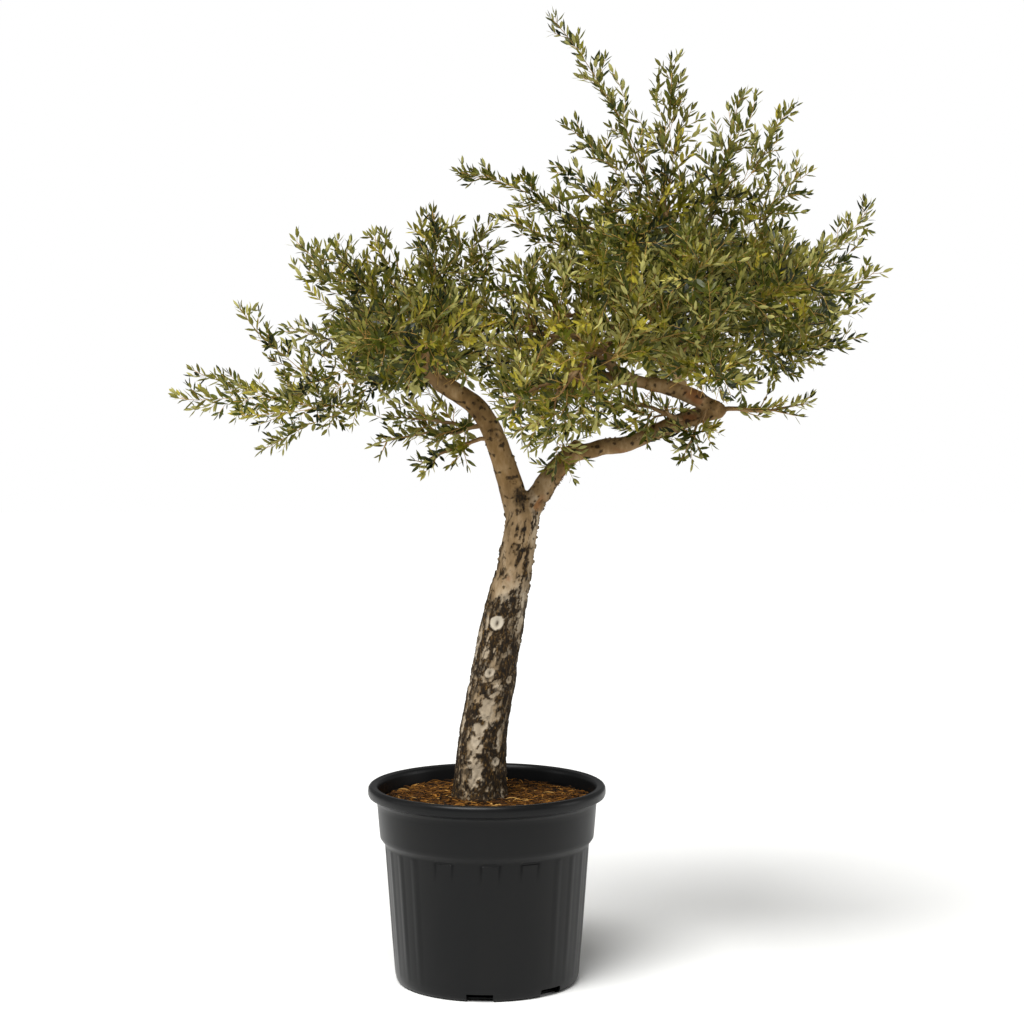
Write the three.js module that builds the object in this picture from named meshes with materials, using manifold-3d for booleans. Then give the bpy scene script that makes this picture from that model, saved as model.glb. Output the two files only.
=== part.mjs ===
// An olive tree in a round nursery pot.
// Millimetres, +Z up. The origin is the centre of the pot's flat underside.
// A leaning trunk forks into two limbs; each limb carries one half of an open, uneven crown.
import * as THREE from 'three';
import { mergeVertices } from 'three/addons/utils/BufferGeometryUtils.js';
import Module from 'manifold-3d';

const wasm = await Module();
wasm.setup();

// ---- driving dimensions -------------------------------------------------------------------

const FIT_GAP = 0.5;            // clear space kept between neighbouring pieces

const POT_SIDES = 28;
const RIM_RADIUS = 300;         // outside of the lip
const RIM_TOP = 500;
const FOOT_RADIUS = 224;        // flat underside
const FOOT_BEVEL_RADIUS = 229;
const FOOT_BEVEL_TOP = 4;
const WALL = 4.5;
const FLOOR = 6;                // thickness of the pot's floor
const INSIDE_CORNER = 5;        // bevel between the floor and the wall, inside
const INSIDE_CORNER_TOP = 14;
const BODY_BOTTOM_RADIUS = 231;
const BODY_TOP_RADIUS = 258;
const BODY_BOTTOM = 12;
const BODY_TOP = 352;           // the plain wall ends here and the collar steps out
const SHOULDER_RADIUS = 267.6;  // widest part of the step, just under the collar
const SHOULDER_TOP = 364;
const COLLAR_BOTTOM_RADIUS = 270.6;
const COLLAR_TOP_RADIUS = 276.7;
const COLLAR_BOTTOM = 374;
const COLLAR_TOP = 452;
const LIP_UNDERSIDE = 472;
const LIP_BEVEL = 8;
const LIP_INNER_RADIUS = 280.7;
const MOUTH_RADIUS = 273.7;     // inner wall just under the rim
const MOUTH_TOP = 494;

const NOTCH_ANGLES = [-94, -4, 44, 136, 196];   // drain notches round the foot, from the front, degrees
const NOTCH_WIDTH = 72;         // at the underside
const NOTCH_TOP_WIDTH = 60;
const NOTCH_HEIGHT = 20;
const NOTCH_DEPTH = 26;

const SOIL_TOP = 466;           // level where the trunk stands
const SOIL_FLAT_RADIUS = 110;
const SOIL_EDGE = 456;          // level at the wall

const WOOD_SIDES = 10;
const ROOT_LOBES = 4;
const ROOT_LOBE_DEPTH = 0.09;   // share of the trunk's radius
const ROOT_LOBE_REACH = 1 / 7;  // share of the trunk's height over which the lobes fade out
const ROOT_LOBE_TURN = 0.6;

// Stations of each piece of wood: [x, y, z, width]. The first is the lowest.
const TRUNK = [
  [-18, 0, SOIL_TOP + FIT_GAP, 138],
  [-15, 2, 560, 120],
  [-6, 6, 645, 113],
  [15, 4, 765, 109],
  [30, -2, 860, 103],
  [47, -5, 945, 101],
  [66, -2, 1030, 89],
  [84, 0, 1140, 85],
  [93, 0, 1192, 101],
  [96, 0, 1214, 84],
];
const LEFT_LIMB = [
  [84, 0, 1150, 50],
  [69, 0, 1227, 66],
  [40, -8, 1318, 60],
  [9, -22, 1404, 52],
  [-26, -34, 1456, 50],
  [-76, -40, 1490, 48],
  [-128, -42, 1522, 44],
];
const RIGHT_LIMB_RISE = [
  [104, 0, 1150, 46],
  [128, 4, 1227, 60],
  [163, 14, 1279, 54],
  [200, 26, 1322, 50],
  [234, 34, 1345, 48],
];
const RIGHT_LIMB_REACH = [
  [234, 34, 1345, 47],
  [300, 42, 1350, 42],
  [358, 46, 1357, 40],
  [410, 44, 1382, 41],
  [470, 34, 1406, 42],
  [540, 14, 1434, 46],
  [592, 0, 1446, 42],
];
const RIGHT_LIMB_RETURN = [
  [566, 0, 1452, 44],
  [523, -10, 1473, 42],
  [483, -16, 1492, 40],
  [440, -20, 1503, 38],
  [392, -24, 1512, 34],
];

// The points that the masses of foliage spread from.
const LEFT_HUB = new THREE.Vector3(-120, 0, 1560);
const RIGHT_HUB = new THREE.Vector3(455, 0, 1640);
const ELBOW_HUB = new THREE.Vector3(592, 0, 1446);
const LIMB_HUB = new THREE.Vector3(30, -15, 1368);
const RISE_HUB = new THREE.Vector3(176, -10, 1330);

// A mass of foliage: [name, azimuth, elevation, nearest, furthest, width, bow].
// Its axis leaves the hub at those angles in degrees (0 is +X, 90 is +Y). It starts and ends at
// those distances from the hub, and its middle bows up by the last value, or down if negative.
// Hearts are the broad masses in the middle; the others cut back to them.
const LEFT_HEARTS = [
  ['left_heart', 176, 26, -70, 305, 250, 10],
  ['left_heart_top', 60, 66, 40, 320, 240, 0],
  ['left_heart_low', 184, -10, 70, 430, 140, -20],
  ['left_heart_front', -95, 14, 40, 340, 230, 15],
  ['left_heart_back', 95, 18, 40, 350, 240, 15],
  ['middle_heart', -8, 18, 70, 360, 240, 20],
];
const LEFT_SHOOTS = [
  ['left_reach', -175, -7, 250, 668, 64, -40],
  ['left_reach_upper', 170, -1, 250, 655, 50, -80],
  ['left_reach_low', -163, -13, 250, 537, 58, -40],
  ['left_outer', -160, 16, 220, 530, 58, -120],
  ['left_outer_upper', 158, 12, 200, 448, 56, -8],
  ['left_shoulder', 171, 40, 160, 492, 115, -12],
  ['left_crest', -150, 45, 160, 422, 94, -8],
  ['left_rise', 138, 56, 150, 410, 78, -14],
  ['left_top', -100, 80, 150, 402, 110, -5],
  ['left_inner', 35, 66, 150, 384, 124, -10],
  ['left_droop', 176, -26, 200, 516, 42, 4],
];
const LIMB_SHOOTS = [
  ['left_under', -175, 13, 40, 292, 84, 12],
  ['left_droop_middle', 163, -4, 60, 352, 54, 28],
  ['left_droop_inner', -160, -17, 40, 234, 54, 18],
];
const RIGHT_HEARTS = [
  ['right_heart', 75, 84, -110, 410, 340, 0],
  ['right_heart_side', 2, 12, 80, 400, 290, -10],
  ['right_heart_front', -88, 16, 70, 440, 330, 20],
  ['right_heart_back', 88, 16, 70, 450, 340, 20],
  ['right_heart_inner', 178, 10, 80, 450, 240, 0],
  ['fork_front', -153, -25, 120, 520, 260, 10],
  ['fork_back', 150, -14, 160, 500, 230, 0],
];
const RIGHT_SHOOTS = [
  ['crest_long', -156, 66, 330, 842, 58, 96],
  ['crest', 86, 81, 330, 703, 98, 0],
  ['crest_right', -43, 69, 300, 630, 92, -12],
  ['right_high', 22, 59, 260, 676, 74, 14],
  ['right_shoulder', -28, 48, 240, 540, 112, 2],
  ['right_side_high', 17, 31, 240, 646, 80, -76],
  ['right_side', -13, 17, 240, 548, 78, -50],
  ['right_side_low', 24, 8, 240, 580, 74, -48],
  ['right_side_edge', -26, -1, 240, 502, 70, -44],
  ['right_under', 9, -22, 90, 285, 66, -25],
  ['inner_high', 150, 59, 220, 618, 76, 88],
  ['inner_middle', -157, 51, 220, 530, 78, 76],
  ['inner_long', -176, 36, 220, 672, 80, 88],
  ['inner_low', 156, 32, 220, 545, 84, 34],
];
const ELBOW_SHOOTS = [
  ['elbow_fill', 186, 5, 80, 330, 130, -30],
  ['right_low_reach', 7, 4, 26, 236, 50, -10],
  ['right_tuft', -160, -51, 24, 172, 76, 24],
];
const RISE_SHOOTS = [
  ['fork_tuft', -80, 62, -70, 110, 96, -20],
];
// Shoots made twice, once on the far side of each hub and once, a little changed, on the near side.
const LEFT_PAIR = [
  ['left_spread', 126, 16, 150, 430, 190, 0],
];
const RIGHT_PAIR = [
  ['right_spread', 48, 22, 200, 560, 250, -10],
  ['right_span', 124, 34, 200, 480, 220, 10],
  ['right_skirt', 84, -8, 220, 500, 170, -20],
];

const NEAR_SIDE_TURN = 8;       // degrees
const NEAR_SIDE_DIP = 6;        // degrees
const NEAR_SIDE_SHORTER = 30;

const HEART_RINGS = 7;
const HEART_SIDES = 9;
const SHOOT_RINGS = 6;
const SHOOT_SIDES = 6;
// Lumps on a mass: [height as a share of the radius, lumps in a turn, twist from end to end].
const LUMPS = [
  [0.13, 2, 5],
  [0.09, 3, -9],
  [0.08, 1, 14],
];
const GOLDEN_SHARE = 0.6180339887;

// ---- materials ----------------------------------------------------------------------------

const POT_FINISH = { color: '#2c2d2e', roughness: 0.55, metalness: 0 };
const SOIL_FINISH = { color: '#7a4a22', roughness: 1, metalness: 0 };
const TRUNK_FINISH = { color: '#6f6150', roughness: 0.9, metalness: 0 };
const LIMB_FINISH = { color: '#a48a68', roughness: 0.85, metalness: 0 };
const LEAF_COLOURS = ['#5c6130', '#6a6d38', '#4f562b', '#74773f'];

// ---- building blocks ----------------------------------------------------------------------

// A mesh's geometry as a solid: shared corners merged, no flat triangles, faces outward.
function solidOf(geometry) {
  const bare = geometry.clone();
  bare.deleteAttribute('normal');
  bare.deleteAttribute('uv');
  const merged = mergeVertices(bare, 1e-4);
  const corners = merged.getAttribute('position').array;
  const index = [];
  for (let i = 0; i < merged.index.count; i += 3) {
    const triangle = [0, 1, 2].map((k) => merged.index.getX(i + k));
    if (new Set(triangle).size === 3) index.push(...triangle);
  }
  if (signedVolume(corners, index) < 0) index.reverse();
  return new wasm.Manifold(new wasm.Mesh({
    numProp: 3,
    vertProperties: new Float32Array(corners),
    triVerts: new Uint32Array(index),
  }));
}

function signedVolume(corners, index) {
  const corner = (i) => new THREE.Vector3().fromArray(corners, 3 * i);
  let volume = 0;
  for (let i = 0; i < index.length; i += 3) {
    volume += corner(index[i]).dot(corner(index[i + 1]).cross(corner(index[i + 2]))) / 6;
  }
  return volume;
}

function geometryOf(solid) {
  const mesh = solid.getMesh();
  const geometry = new THREE.BufferGeometry();
  geometry.setAttribute('position', new THREE.BufferAttribute(mesh.vertProperties, 3));
  geometry.setIndex(new THREE.BufferAttribute(mesh.triVerts, 1));
  geometry.computeVertexNormals();
  return geometry;
}

// The largest of the pieces that a cut has left.
function largestPiece(solid) {
  return solid.decompose().reduce((best, piece) => (piece.volume() > best.volume() ? piece : best));
}

// A round form along a curve. widthAt(t, angle) is its radius. Its ends are flat or pointed.
function loft({ curve, widthAt, rings, sides, pointed = false, levelFoot = false, grow = 0 }) {
  const profile = [new THREE.Vector2(0, 0)];
  if (!pointed) profile.push(new THREE.Vector2(1, 0));
  for (let i = 1; i < rings; i += 1) profile.push(new THREE.Vector2(1, i / rings));
  if (!pointed) profile.push(new THREE.Vector2(1, 1));
  profile.push(new THREE.Vector2(0, 1));
  const geometry = new THREE.LatheGeometry(profile, sides);

  const frames = framesAlong(curve, rings, levelFoot);
  const position = geometry.getAttribute('position');
  for (let i = 0; i < position.count; i += 1) {
    const across = Math.hypot(position.getX(i), position.getZ(i));
    const angle = Math.atan2(position.getX(i), position.getZ(i));
    const t = position.getY(i);
    const frame = frames[Math.round(t * rings)];
    const point = frame.point.clone();
    if (t === 0) point.addScaledVector(frame.tangent, -grow);
    if (t === 1) point.addScaledVector(frame.tangent, grow);
    if (across > 0.5) {
      const radius = widthAt(t, angle) + grow;
      point.addScaledVector(frame.normal, radius * Math.cos(angle));
      point.addScaledVector(frame.binormal, radius * Math.sin(angle));
    }
    position.setXYZ(i, point.x, point.y, point.z);
  }
  return geometry;
}

// A frame at each ring that turns as little as it can from one to the next.
function framesAlong(curve, rings, levelFoot) {
  const frames = [];
  let normal = new THREE.Vector3(1, 0, 0);
  for (let i = 0; i <= rings; i += 1) {
    const t = i / rings;
    const tangent = levelFoot && i === 0 ? new THREE.Vector3(0, 0, 1) : curve.getTangent(t);
    if (Math.abs(normal.dot(tangent)) > 0.95) normal = new THREE.Vector3(0, 0, 1);
    normal = normal.clone().addScaledVector(tangent, -normal.dot(tangent)).normalize();
    const binormal = new THREE.Vector3().crossVectors(tangent, normal);
    frames.push({ point: curve.getPoint(t), tangent, normal, binormal });
  }
  return frames;
}

const group = new THREE.Group();

function addPiece(name, solid, finish) {
  const mesh = new THREE.Mesh(geometryOf(solid), new THREE.MeshStandardMaterial(finish));
  mesh.name = name;
  group.add(mesh);
}

// ---- pot and soil -------------------------------------------------------------------------

function potProfile() {
  const point = (radius, height) => new THREE.Vector2(radius, height);
  const outside = [
    point(0, 0),
    point(FOOT_RADIUS, 0),
    point(FOOT_BEVEL_RADIUS, FOOT_BEVEL_TOP),
    point(BODY_BOTTOM_RADIUS, BODY_BOTTOM),
    point(BODY_TOP_RADIUS, BODY_TOP),
    point(SHOULDER_RADIUS, SHOULDER_TOP),
    point(COLLAR_BOTTOM_RADIUS, COLLAR_BOTTOM),
    point(COLLAR_TOP_RADIUS, COLLAR_TOP),
    point(RIM_RADIUS, LIP_UNDERSIDE),
    point(RIM_RADIUS, RIM_TOP - LIP_BEVEL),
    point(RIM_RADIUS - LIP_BEVEL, RIM_TOP),
    point(LIP_INNER_RADIUS, RIM_TOP),
  ];
  const inside = insideProfile(0).reverse();
  return [...outside, ...inside, point(0, 0)];
}

// The pot's inside, from the middle of its floor up to the rim, drawn in by a gap.
function insideProfile(gap) {
  const point = (radius, height) => new THREE.Vector2(radius, height);
  return [
    point(0, FLOOR + gap),
    point(BODY_BOTTOM_RADIUS - WALL - INSIDE_CORNER - gap, FLOOR + gap),
    point(BODY_BOTTOM_RADIUS - WALL - gap, INSIDE_CORNER_TOP + gap),
    point(BODY_TOP_RADIUS - WALL - gap, BODY_TOP),
    point(COLLAR_BOTTOM_RADIUS - WALL - gap, COLLAR_BOTTOM),
    point(COLLAR_TOP_RADIUS - WALL - gap, SOIL_EDGE),
    point(MOUTH_RADIUS - gap, MOUTH_TOP),
  ];
}

function notchCutter(angle) {
  const outline = new THREE.Shape([
    new THREE.Vector2(-NOTCH_WIDTH / 2, -FIT_GAP),
    new THREE.Vector2(NOTCH_WIDTH / 2, -FIT_GAP),
    new THREE.Vector2(NOTCH_TOP_WIDTH / 2, NOTCH_HEIGHT),
    new THREE.Vector2(-NOTCH_TOP_WIDTH / 2, NOTCH_HEIGHT),
  ]);
  const reach = 2 * NOTCH_DEPTH;
  const geometry = new THREE.ExtrudeGeometry(outline, { depth: reach, bevelEnabled: false });
  geometry.rotateX(Math.PI / 2);
  geometry.translate(0, -(BODY_BOTTOM_RADIUS - NOTCH_DEPTH), 0);
  geometry.rotateZ(THREE.MathUtils.degToRad(angle));
  return solidOf(geometry);
}

function buildPot() {
  const turned = new THREE.LatheGeometry(potProfile(), POT_SIDES);
  turned.rotateX(Math.PI / 2);
  return NOTCH_ANGLES.reduce((pot, angle) => pot.subtract(notchCutter(angle)), solidOf(turned));
}

function buildSoil() {
  const wallSide = insideProfile(FIT_GAP).slice(0, -1);
  const profile = [
    ...wallSide,
    new THREE.Vector2(SOIL_FLAT_RADIUS, SOIL_TOP),
    new THREE.Vector2(0, SOIL_TOP),
  ];
  const turned = new THREE.LatheGeometry(profile, POT_SIDES);
  turned.rotateX(Math.PI / 2);
  return solidOf(turned);
}

// ---- trunk and limbs ----------------------------------------------------------------------

// The radius along a list of stations, which are evenly spaced in t.
function radiusAlong(stations, t) {
  const place = t * (stations.length - 1);
  const low = Math.min(Math.floor(place), stations.length - 2);
  return THREE.MathUtils.lerp(stations[low][3], stations[low + 1][3], place - low) / 2;
}

function woodLoft(stations, rings, shapeAt, levelFoot, grow) {
  const curve = new THREE.CatmullRomCurve3(
    stations.map(([x, y, z]) => new THREE.Vector3(x, y, z)), false, 'centripetal');
  const widthAt = (t, angle) => radiusAlong(stations, t) * shapeAt(t, angle);
  return solidOf(loft({ curve, widthAt, rings, sides: WOOD_SIDES, levelFoot, grow }));
}

// Each piece of wood is [name, stations, rings, finish]. Each is cut back to those before it.
const WOOD = [
  ['trunk', TRUNK, 15, TRUNK_FINISH],
  ['left_limb', LEFT_LIMB, 10, LIMB_FINISH],
  ['right_limb_rise', RIGHT_LIMB_RISE, 7, LIMB_FINISH],
  ['right_limb_reach', RIGHT_LIMB_REACH, 10, LIMB_FINISH],
  ['right_limb_return', RIGHT_LIMB_RETURN, 6, LIMB_FINISH],
];

// Root lobes that fade out a hand's breadth above the soil.
function rootFlare(t, angle) {
  const strength = ROOT_LOBE_DEPTH * Math.max(0, 1 - t / ROOT_LOBE_REACH);
  return 1 + strength * Math.cos(ROOT_LOBES * angle + ROOT_LOBE_TURN);
}

function buildWood() {
  const grown = [];
  for (const [name, stations, rings, finish] of WOOD) {
    const isTrunk = name === 'trunk';
    const shapeAt = isTrunk ? rootFlare : () => 1;
    let solid = woodLoft(stations, rings, shapeAt, isTrunk, 0);
    for (const neighbour of grown) solid = solid.subtract(neighbour);
    solid = largestPiece(solid);
    addPiece(name, solid, finish);
    grown.push(woodLoft(stations, rings, shapeAt, isTrunk, FIT_GAP));
  }
  return grown;
}

// ---- foliage ------------------------------------------------------------------------------

// Fullness along a mass: hearts are full in the middle, shoots near the start with a long taper.
const heartFullness = (t) => Math.sqrt(Math.max(0, 1 - (2 * t - 1) ** 2)) ** 0.8;
const shootFullness = (t) => Math.sin(Math.PI * t ** 0.62) ** 0.5;

// Smooth lumps that differ from one mass to the next.
function lumpiness(seed) {
  const start = (k) => 2 * Math.PI * ((seed * (k + 1) * GOLDEN_SHARE) % 1);
  return (t, angle) => LUMPS.reduce(
    (sum, [height, count, twist], k) => sum + height * Math.sin(count * angle + start(k) + twist * t),
    1);
}

function directionOf(azimuth, elevation) {
  const a = THREE.MathUtils.degToRad(azimuth);
  const e = THREE.MathUtils.degToRad(elevation);
  return new THREE.Vector3(Math.cos(e) * Math.cos(a), Math.cos(e) * Math.sin(a), Math.sin(e));
}

function massLoft(hub, row, seed, isHeart, grow) {
  const [, azimuth, elevation, nearest, furthest, width, bow] = row;
  const direction = directionOf(azimuth, elevation);
  const up = new THREE.Vector3(0, 0, 1).addScaledVector(direction, -direction.z).normalize();
  const start = hub.clone().addScaledVector(direction, nearest);
  const tip = hub.clone().addScaledVector(direction, furthest);
  // The bow is measured from the straight line between the hub and the tip, at its middle.
  const bowAt = (reach) => bow * Math.sin(Math.PI * Math.max(0, reach) / furthest);
  const control = start.clone().lerp(tip, 0.5);
  const middleBow = bowAt((nearest + furthest) / 2);
  start.addScaledVector(up, bowAt(nearest));
  control.addScaledVector(up, 2 * middleBow - bowAt(nearest) / 2);
  const curve = new THREE.QuadraticBezierCurve3(start, control, tip);
  const lumps = lumpiness(seed);
  const fullness = isHeart ? heartFullness : shootFullness;
  const widthAt = (t, angle) => (width / 2) * fullness(t) * lumps(t, angle);
  const rings = isHeart ? HEART_RINGS : SHOOT_RINGS;
  const sides = isHeart ? HEART_SIDES : SHOOT_SIDES;
  return solidOf(loft({ curve, widthAt, rings, sides, pointed: true, grow }));
}

// The far-side and near-side copies of a shoot.
function bothSides(rows) {
  return rows.flatMap(([name, azimuth, elevation, nearest, furthest, width, bow]) => {
    const nearAzimuth = NEAR_SIDE_TURN - azimuth;
    const nearElevation = elevation - NEAR_SIDE_DIP;
    const nearFurthest = furthest - NEAR_SIDE_SHORTER;
    return [
      [`${name}_back`, azimuth, elevation, nearest, furthest, width, bow],
      [`${name}_front`, nearAzimuth, nearElevation, nearest, nearFurthest, width, bow],
    ];
  });
}

function buildFoliage(grown) {
  const batches = [
    [LEFT_HUB, LEFT_HEARTS, true],
    [RIGHT_HUB, RIGHT_HEARTS, true],
    [LEFT_HUB, LEFT_SHOOTS, false],
    [RIGHT_HUB, RIGHT_SHOOTS, false],
    [ELBOW_HUB, ELBOW_SHOOTS, false],
    [LIMB_HUB, LIMB_SHOOTS, false],
    [RISE_HUB, RISE_SHOOTS, false],
    [LEFT_HUB, bothSides(LEFT_PAIR), false],
    [RIGHT_HUB, bothSides(RIGHT_PAIR), false],
  ];
  let seed = 0;
  for (const [hub, rows, isHeart] of batches) {
    for (const row of rows) {
      seed += 1;
      let solid = massLoft(hub, row, seed, isHeart, 0);
      for (const neighbour of grown) solid = solid.subtract(neighbour);
      addPiece(row[0], largestPiece(solid), {
        color: LEAF_COLOURS[seed % LEAF_COLOURS.length],
        roughness: 0.7,
        metalness: 0,
      });
      grown.push(massLoft(hub, row, seed, isHeart, FIT_GAP));
    }
  }
}

addPiece('pot', buildPot(), POT_FINISH);
addPiece('soil', buildSoil(), SOIL_FINISH);
buildFoliage(buildWood());

export default group;
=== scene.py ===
import itertools
import math
import random

import bmesh
import bpy
import numpy as np
from mathutils import Matrix, noise, Vector
from mathutils.bvhtree import BVHTree
from mathutils.kdtree import KDTree


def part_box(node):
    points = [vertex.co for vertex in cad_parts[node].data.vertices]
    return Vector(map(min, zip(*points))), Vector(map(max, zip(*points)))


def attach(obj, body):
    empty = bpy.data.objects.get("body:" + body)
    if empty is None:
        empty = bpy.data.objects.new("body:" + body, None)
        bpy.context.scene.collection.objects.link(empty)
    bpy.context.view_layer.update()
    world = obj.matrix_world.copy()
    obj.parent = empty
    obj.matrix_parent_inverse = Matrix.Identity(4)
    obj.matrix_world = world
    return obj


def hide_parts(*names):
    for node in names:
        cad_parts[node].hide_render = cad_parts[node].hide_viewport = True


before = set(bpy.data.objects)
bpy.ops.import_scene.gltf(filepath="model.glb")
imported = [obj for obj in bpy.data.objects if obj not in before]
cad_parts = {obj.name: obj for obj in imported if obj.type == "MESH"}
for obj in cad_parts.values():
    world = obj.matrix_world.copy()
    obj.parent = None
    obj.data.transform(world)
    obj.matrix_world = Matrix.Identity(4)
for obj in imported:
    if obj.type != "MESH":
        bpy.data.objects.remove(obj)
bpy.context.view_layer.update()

RNG = random.Random(4107)
UP = np.array([0.0, 0.0, 1.0])
GOLDEN_ANGLE = math.radians(137.5)

WOOD_NODES = ("trunk", "left_limb", "right_limb_rise", "right_limb_reach", "right_limb_return")
PLAIN_NODES = WOOD_NODES + ("pot", "soil")
FOLIAGE_NODES = sorted(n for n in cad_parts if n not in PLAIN_NODES)


# ---- small helpers ----------------------------------------------------------------------------


def unit(v):
    return v / max(np.linalg.norm(v), 1e-12)


def perpendicular(v, toward):
    """The part of toward that is square to the unit vector v, as a unit vector."""
    side = toward - v * float(np.dot(v, toward))
    if np.linalg.norm(side) < 1e-6:
        side = np.cross(v, np.array([1.0, 0.0, 0.0]))
    return unit(side)


def turned(v, axis, angle):
    """v turned about a unit axis."""
    return (v * math.cos(angle) + np.cross(axis, v) * math.sin(angle)
            + axis * float(np.dot(axis, v)) * (1 - math.cos(angle)))


def srgb(hex_code):
    """A colour as a Principled base colour."""
    channels = [int(hex_code[i:i + 2], 16) / 255 for i in (1, 3, 5)]
    linear = [c / 12.92 if c <= 0.04045 else ((c + 0.055) / 1.055) ** 2.4 for c in channels]
    return (*linear, 1.0)


def add_object(name, data, materials=()):
    piece = bpy.data.objects.new(name, data)
    bpy.context.scene.collection.objects.link(piece)
    for material in materials:
        data.materials.append(material)
    return piece


def apply_modifiers(piece):
    """Gives a piece the mesh that its modifiers make, and takes them off."""
    graph = bpy.context.evaluated_depsgraph_get()
    mesh = bpy.data.meshes.new_from_object(piece.evaluated_get(graph))
    piece.modifiers.clear()
    piece.data = mesh


def mesh_of(shell, name):
    """The mesh of a bmesh, which is freed."""
    mesh = bpy.data.meshes.new(name)
    shell.to_mesh(mesh)
    shell.free()
    return mesh


def shade_smooth(mesh):
    mesh.polygons.foreach_set("use_smooth", np.full(len(mesh.polygons), True))


def mesh_from_arrays(name, points, faces, material_index=None, smooth=True):
    """A mesh from an (n, 3) array of points and an (m, k) array of faces."""
    mesh = bpy.data.meshes.new(name)
    count, corners = faces.shape
    mesh.vertices.add(len(points))
    mesh.vertices.foreach_set("co", np.ascontiguousarray(points, dtype=np.float32).ravel())
    mesh.loops.add(count * corners)
    mesh.loops.foreach_set("vertex_index", np.ascontiguousarray(faces, dtype=np.int32).ravel())
    mesh.polygons.add(count)
    mesh.polygons.foreach_set("loop_start", np.arange(count, dtype=np.int32) * corners)
    if material_index is not None:
        mesh.polygons.foreach_set("material_index", np.ascontiguousarray(material_index, np.int32))
    mesh.update(calc_edges=True)
    mesh.polygons.foreach_set("use_smooth", np.full(count, smooth))
    mesh.validate()
    return mesh


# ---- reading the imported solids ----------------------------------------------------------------

CENTRELINE_CUTS = 16

def node_arrays(name):
    """Points and triangles of a node's mesh."""
    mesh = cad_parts[name].data
    points = np.empty(3 * len(mesh.vertices))
    mesh.vertices.foreach_get("co", points)
    mesh.calc_loop_triangles()
    faces = np.empty(3 * len(mesh.loop_triangles), dtype=np.int32)
    mesh.loop_triangles.foreach_get("vertices", faces)
    return points.reshape(-1, 3), faces.reshape(-1, 3)


def section(points, faces, origin, axis, reach=math.inf):
    """Middle and mean radius of the outline in which a plane cuts a mesh, near the origin."""
    side = (points - origin) @ axis
    crossings = []
    for a, b in ((0, 1), (1, 2), (2, 0)):
        first, second = faces[:, a], faces[:, b]
        cut = (side[first] < 0) != (side[second] < 0)
        first, second = first[cut], second[cut]
        share = (side[first] / (side[first] - side[second]))[:, None]
        crossings.append(points[first] * (1 - share) + points[second] * share)
    outline = np.vstack(crossings)
    outline = outline[np.linalg.norm(outline - origin, axis=1) < reach]
    if len(outline) < 4:
        return None
    middle = outline.mean(axis=0)
    return middle, float(np.linalg.norm(outline - middle, axis=1).mean())


def long_axis(points):
    """Unit vector along the longest way through some points."""
    return np.linalg.svd(points - points.mean(axis=0), full_matrices=False)[2][0]


def centreline(name, start):
    """Middles and radii along a node, from the end nearest start."""
    points, faces = node_arrays(name)
    axis = long_axis(points)
    along = points @ axis
    near, far = points[along.argmin()], points[along.argmax()]
    if np.linalg.norm(near - start) > np.linalg.norm(far - start):
        axis, along = -axis, -along
    low, high = along.min(), along.max()
    rough = []
    for share in np.linspace(0.04, 0.96, CENTRELINE_CUTS):
        found = section(points, faces, axis * (low + share * (high - low)), axis)
        if found:
            rough.append(found)
    middles = np.array([m for m, _ in rough])
    tangents = np.gradient(middles, axis=0)
    line = []
    for middle, tangent, (_, radius) in zip(middles, tangents, rough):
        found = section(points, faces, middle, unit(tangent), reach=2.2 * radius)
        line.append(found or (middle, radius))
    return np.array([m for m, _ in line]), np.array([r for _, r in line])


def resample(path, radii, step):
    """A smooth curve through points, at even steps, with its radii."""
    path, radii = np.asarray(path, float), np.asarray(radii, float)
    lengths = np.linalg.norm(np.diff(path, axis=0), axis=1)
    keep = np.concatenate([[True], lengths > 1e-5])
    path, radii = path[keep], radii[keep]
    lengths = lengths[lengths > 1e-5]
    at = np.concatenate([[0], np.cumsum(lengths)])
    count = max(2, int(round(at[-1] / step)) + 1)
    wanted = np.linspace(0, at[-1], count)
    slopes = np.gradient(path, at, axis=0)
    i = np.clip(np.searchsorted(at, wanted, side="right") - 1, 0, len(path) - 2)
    span = (at[i + 1] - at[i])[:, None]
    t = ((wanted - at[i]) / span[:, 0])[:, None]
    curve = ((2 * t**3 - 3 * t**2 + 1) * path[i] + (t**3 - 2 * t**2 + t) * span * slopes[i]
             + (3 * t**2 - 2 * t**3) * path[i + 1] + (t**3 - t**2) * span * slopes[i + 1])
    return curve, np.interp(wanted, at, radii)


def tangents_of(path):
    steps = np.gradient(path, axis=0)
    return steps / np.maximum(np.linalg.norm(steps, axis=1), 1e-12)[:, None]


def tube(path, radii, sides):
    """Points and triangles of a closed tube. A fan of triangles caps each end."""
    tangents = tangents_of(path)
    normal = perpendicular(tangents[0], np.array([0.31, 0.47, 0.83]))
    rings = []
    angles = np.arange(sides) * 2 * math.pi / sides
    for point, tangent, radius in zip(path, tangents, radii):
        normal = perpendicular(tangent, normal)
        binormal = np.cross(tangent, normal)
        rings.append(point + radius * (np.cos(angles)[:, None] * normal
                                       + np.sin(angles)[:, None] * binormal))
    points = np.vstack(rings + [path[:1], path[-1:]])
    count = len(path)
    faces = []
    for ring in range(count - 1):
        for k in range(sides):
            a, b = ring * sides + k, ring * sides + (k + 1) % sides
            faces += [(a, b, b + sides), (a, b + sides, a + sides)]
    for k in range(sides):
        last = (count - 1) * sides
        faces.append((count * sides, (k + 1) % sides, k))
        faces.append((count * sides + 1, last + k, last + (k + 1) % sides))
    return points, np.array(faces)


def joined(parts):
    """Several (points, faces) as one."""
    offsets = np.cumsum([0] + [len(p) for p, _ in parts[:-1]])
    points = np.vstack([p for p, _ in parts])
    faces = np.vstack([f + offset for (_, f), offset in zip(parts, offsets)])
    return points, faces


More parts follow.
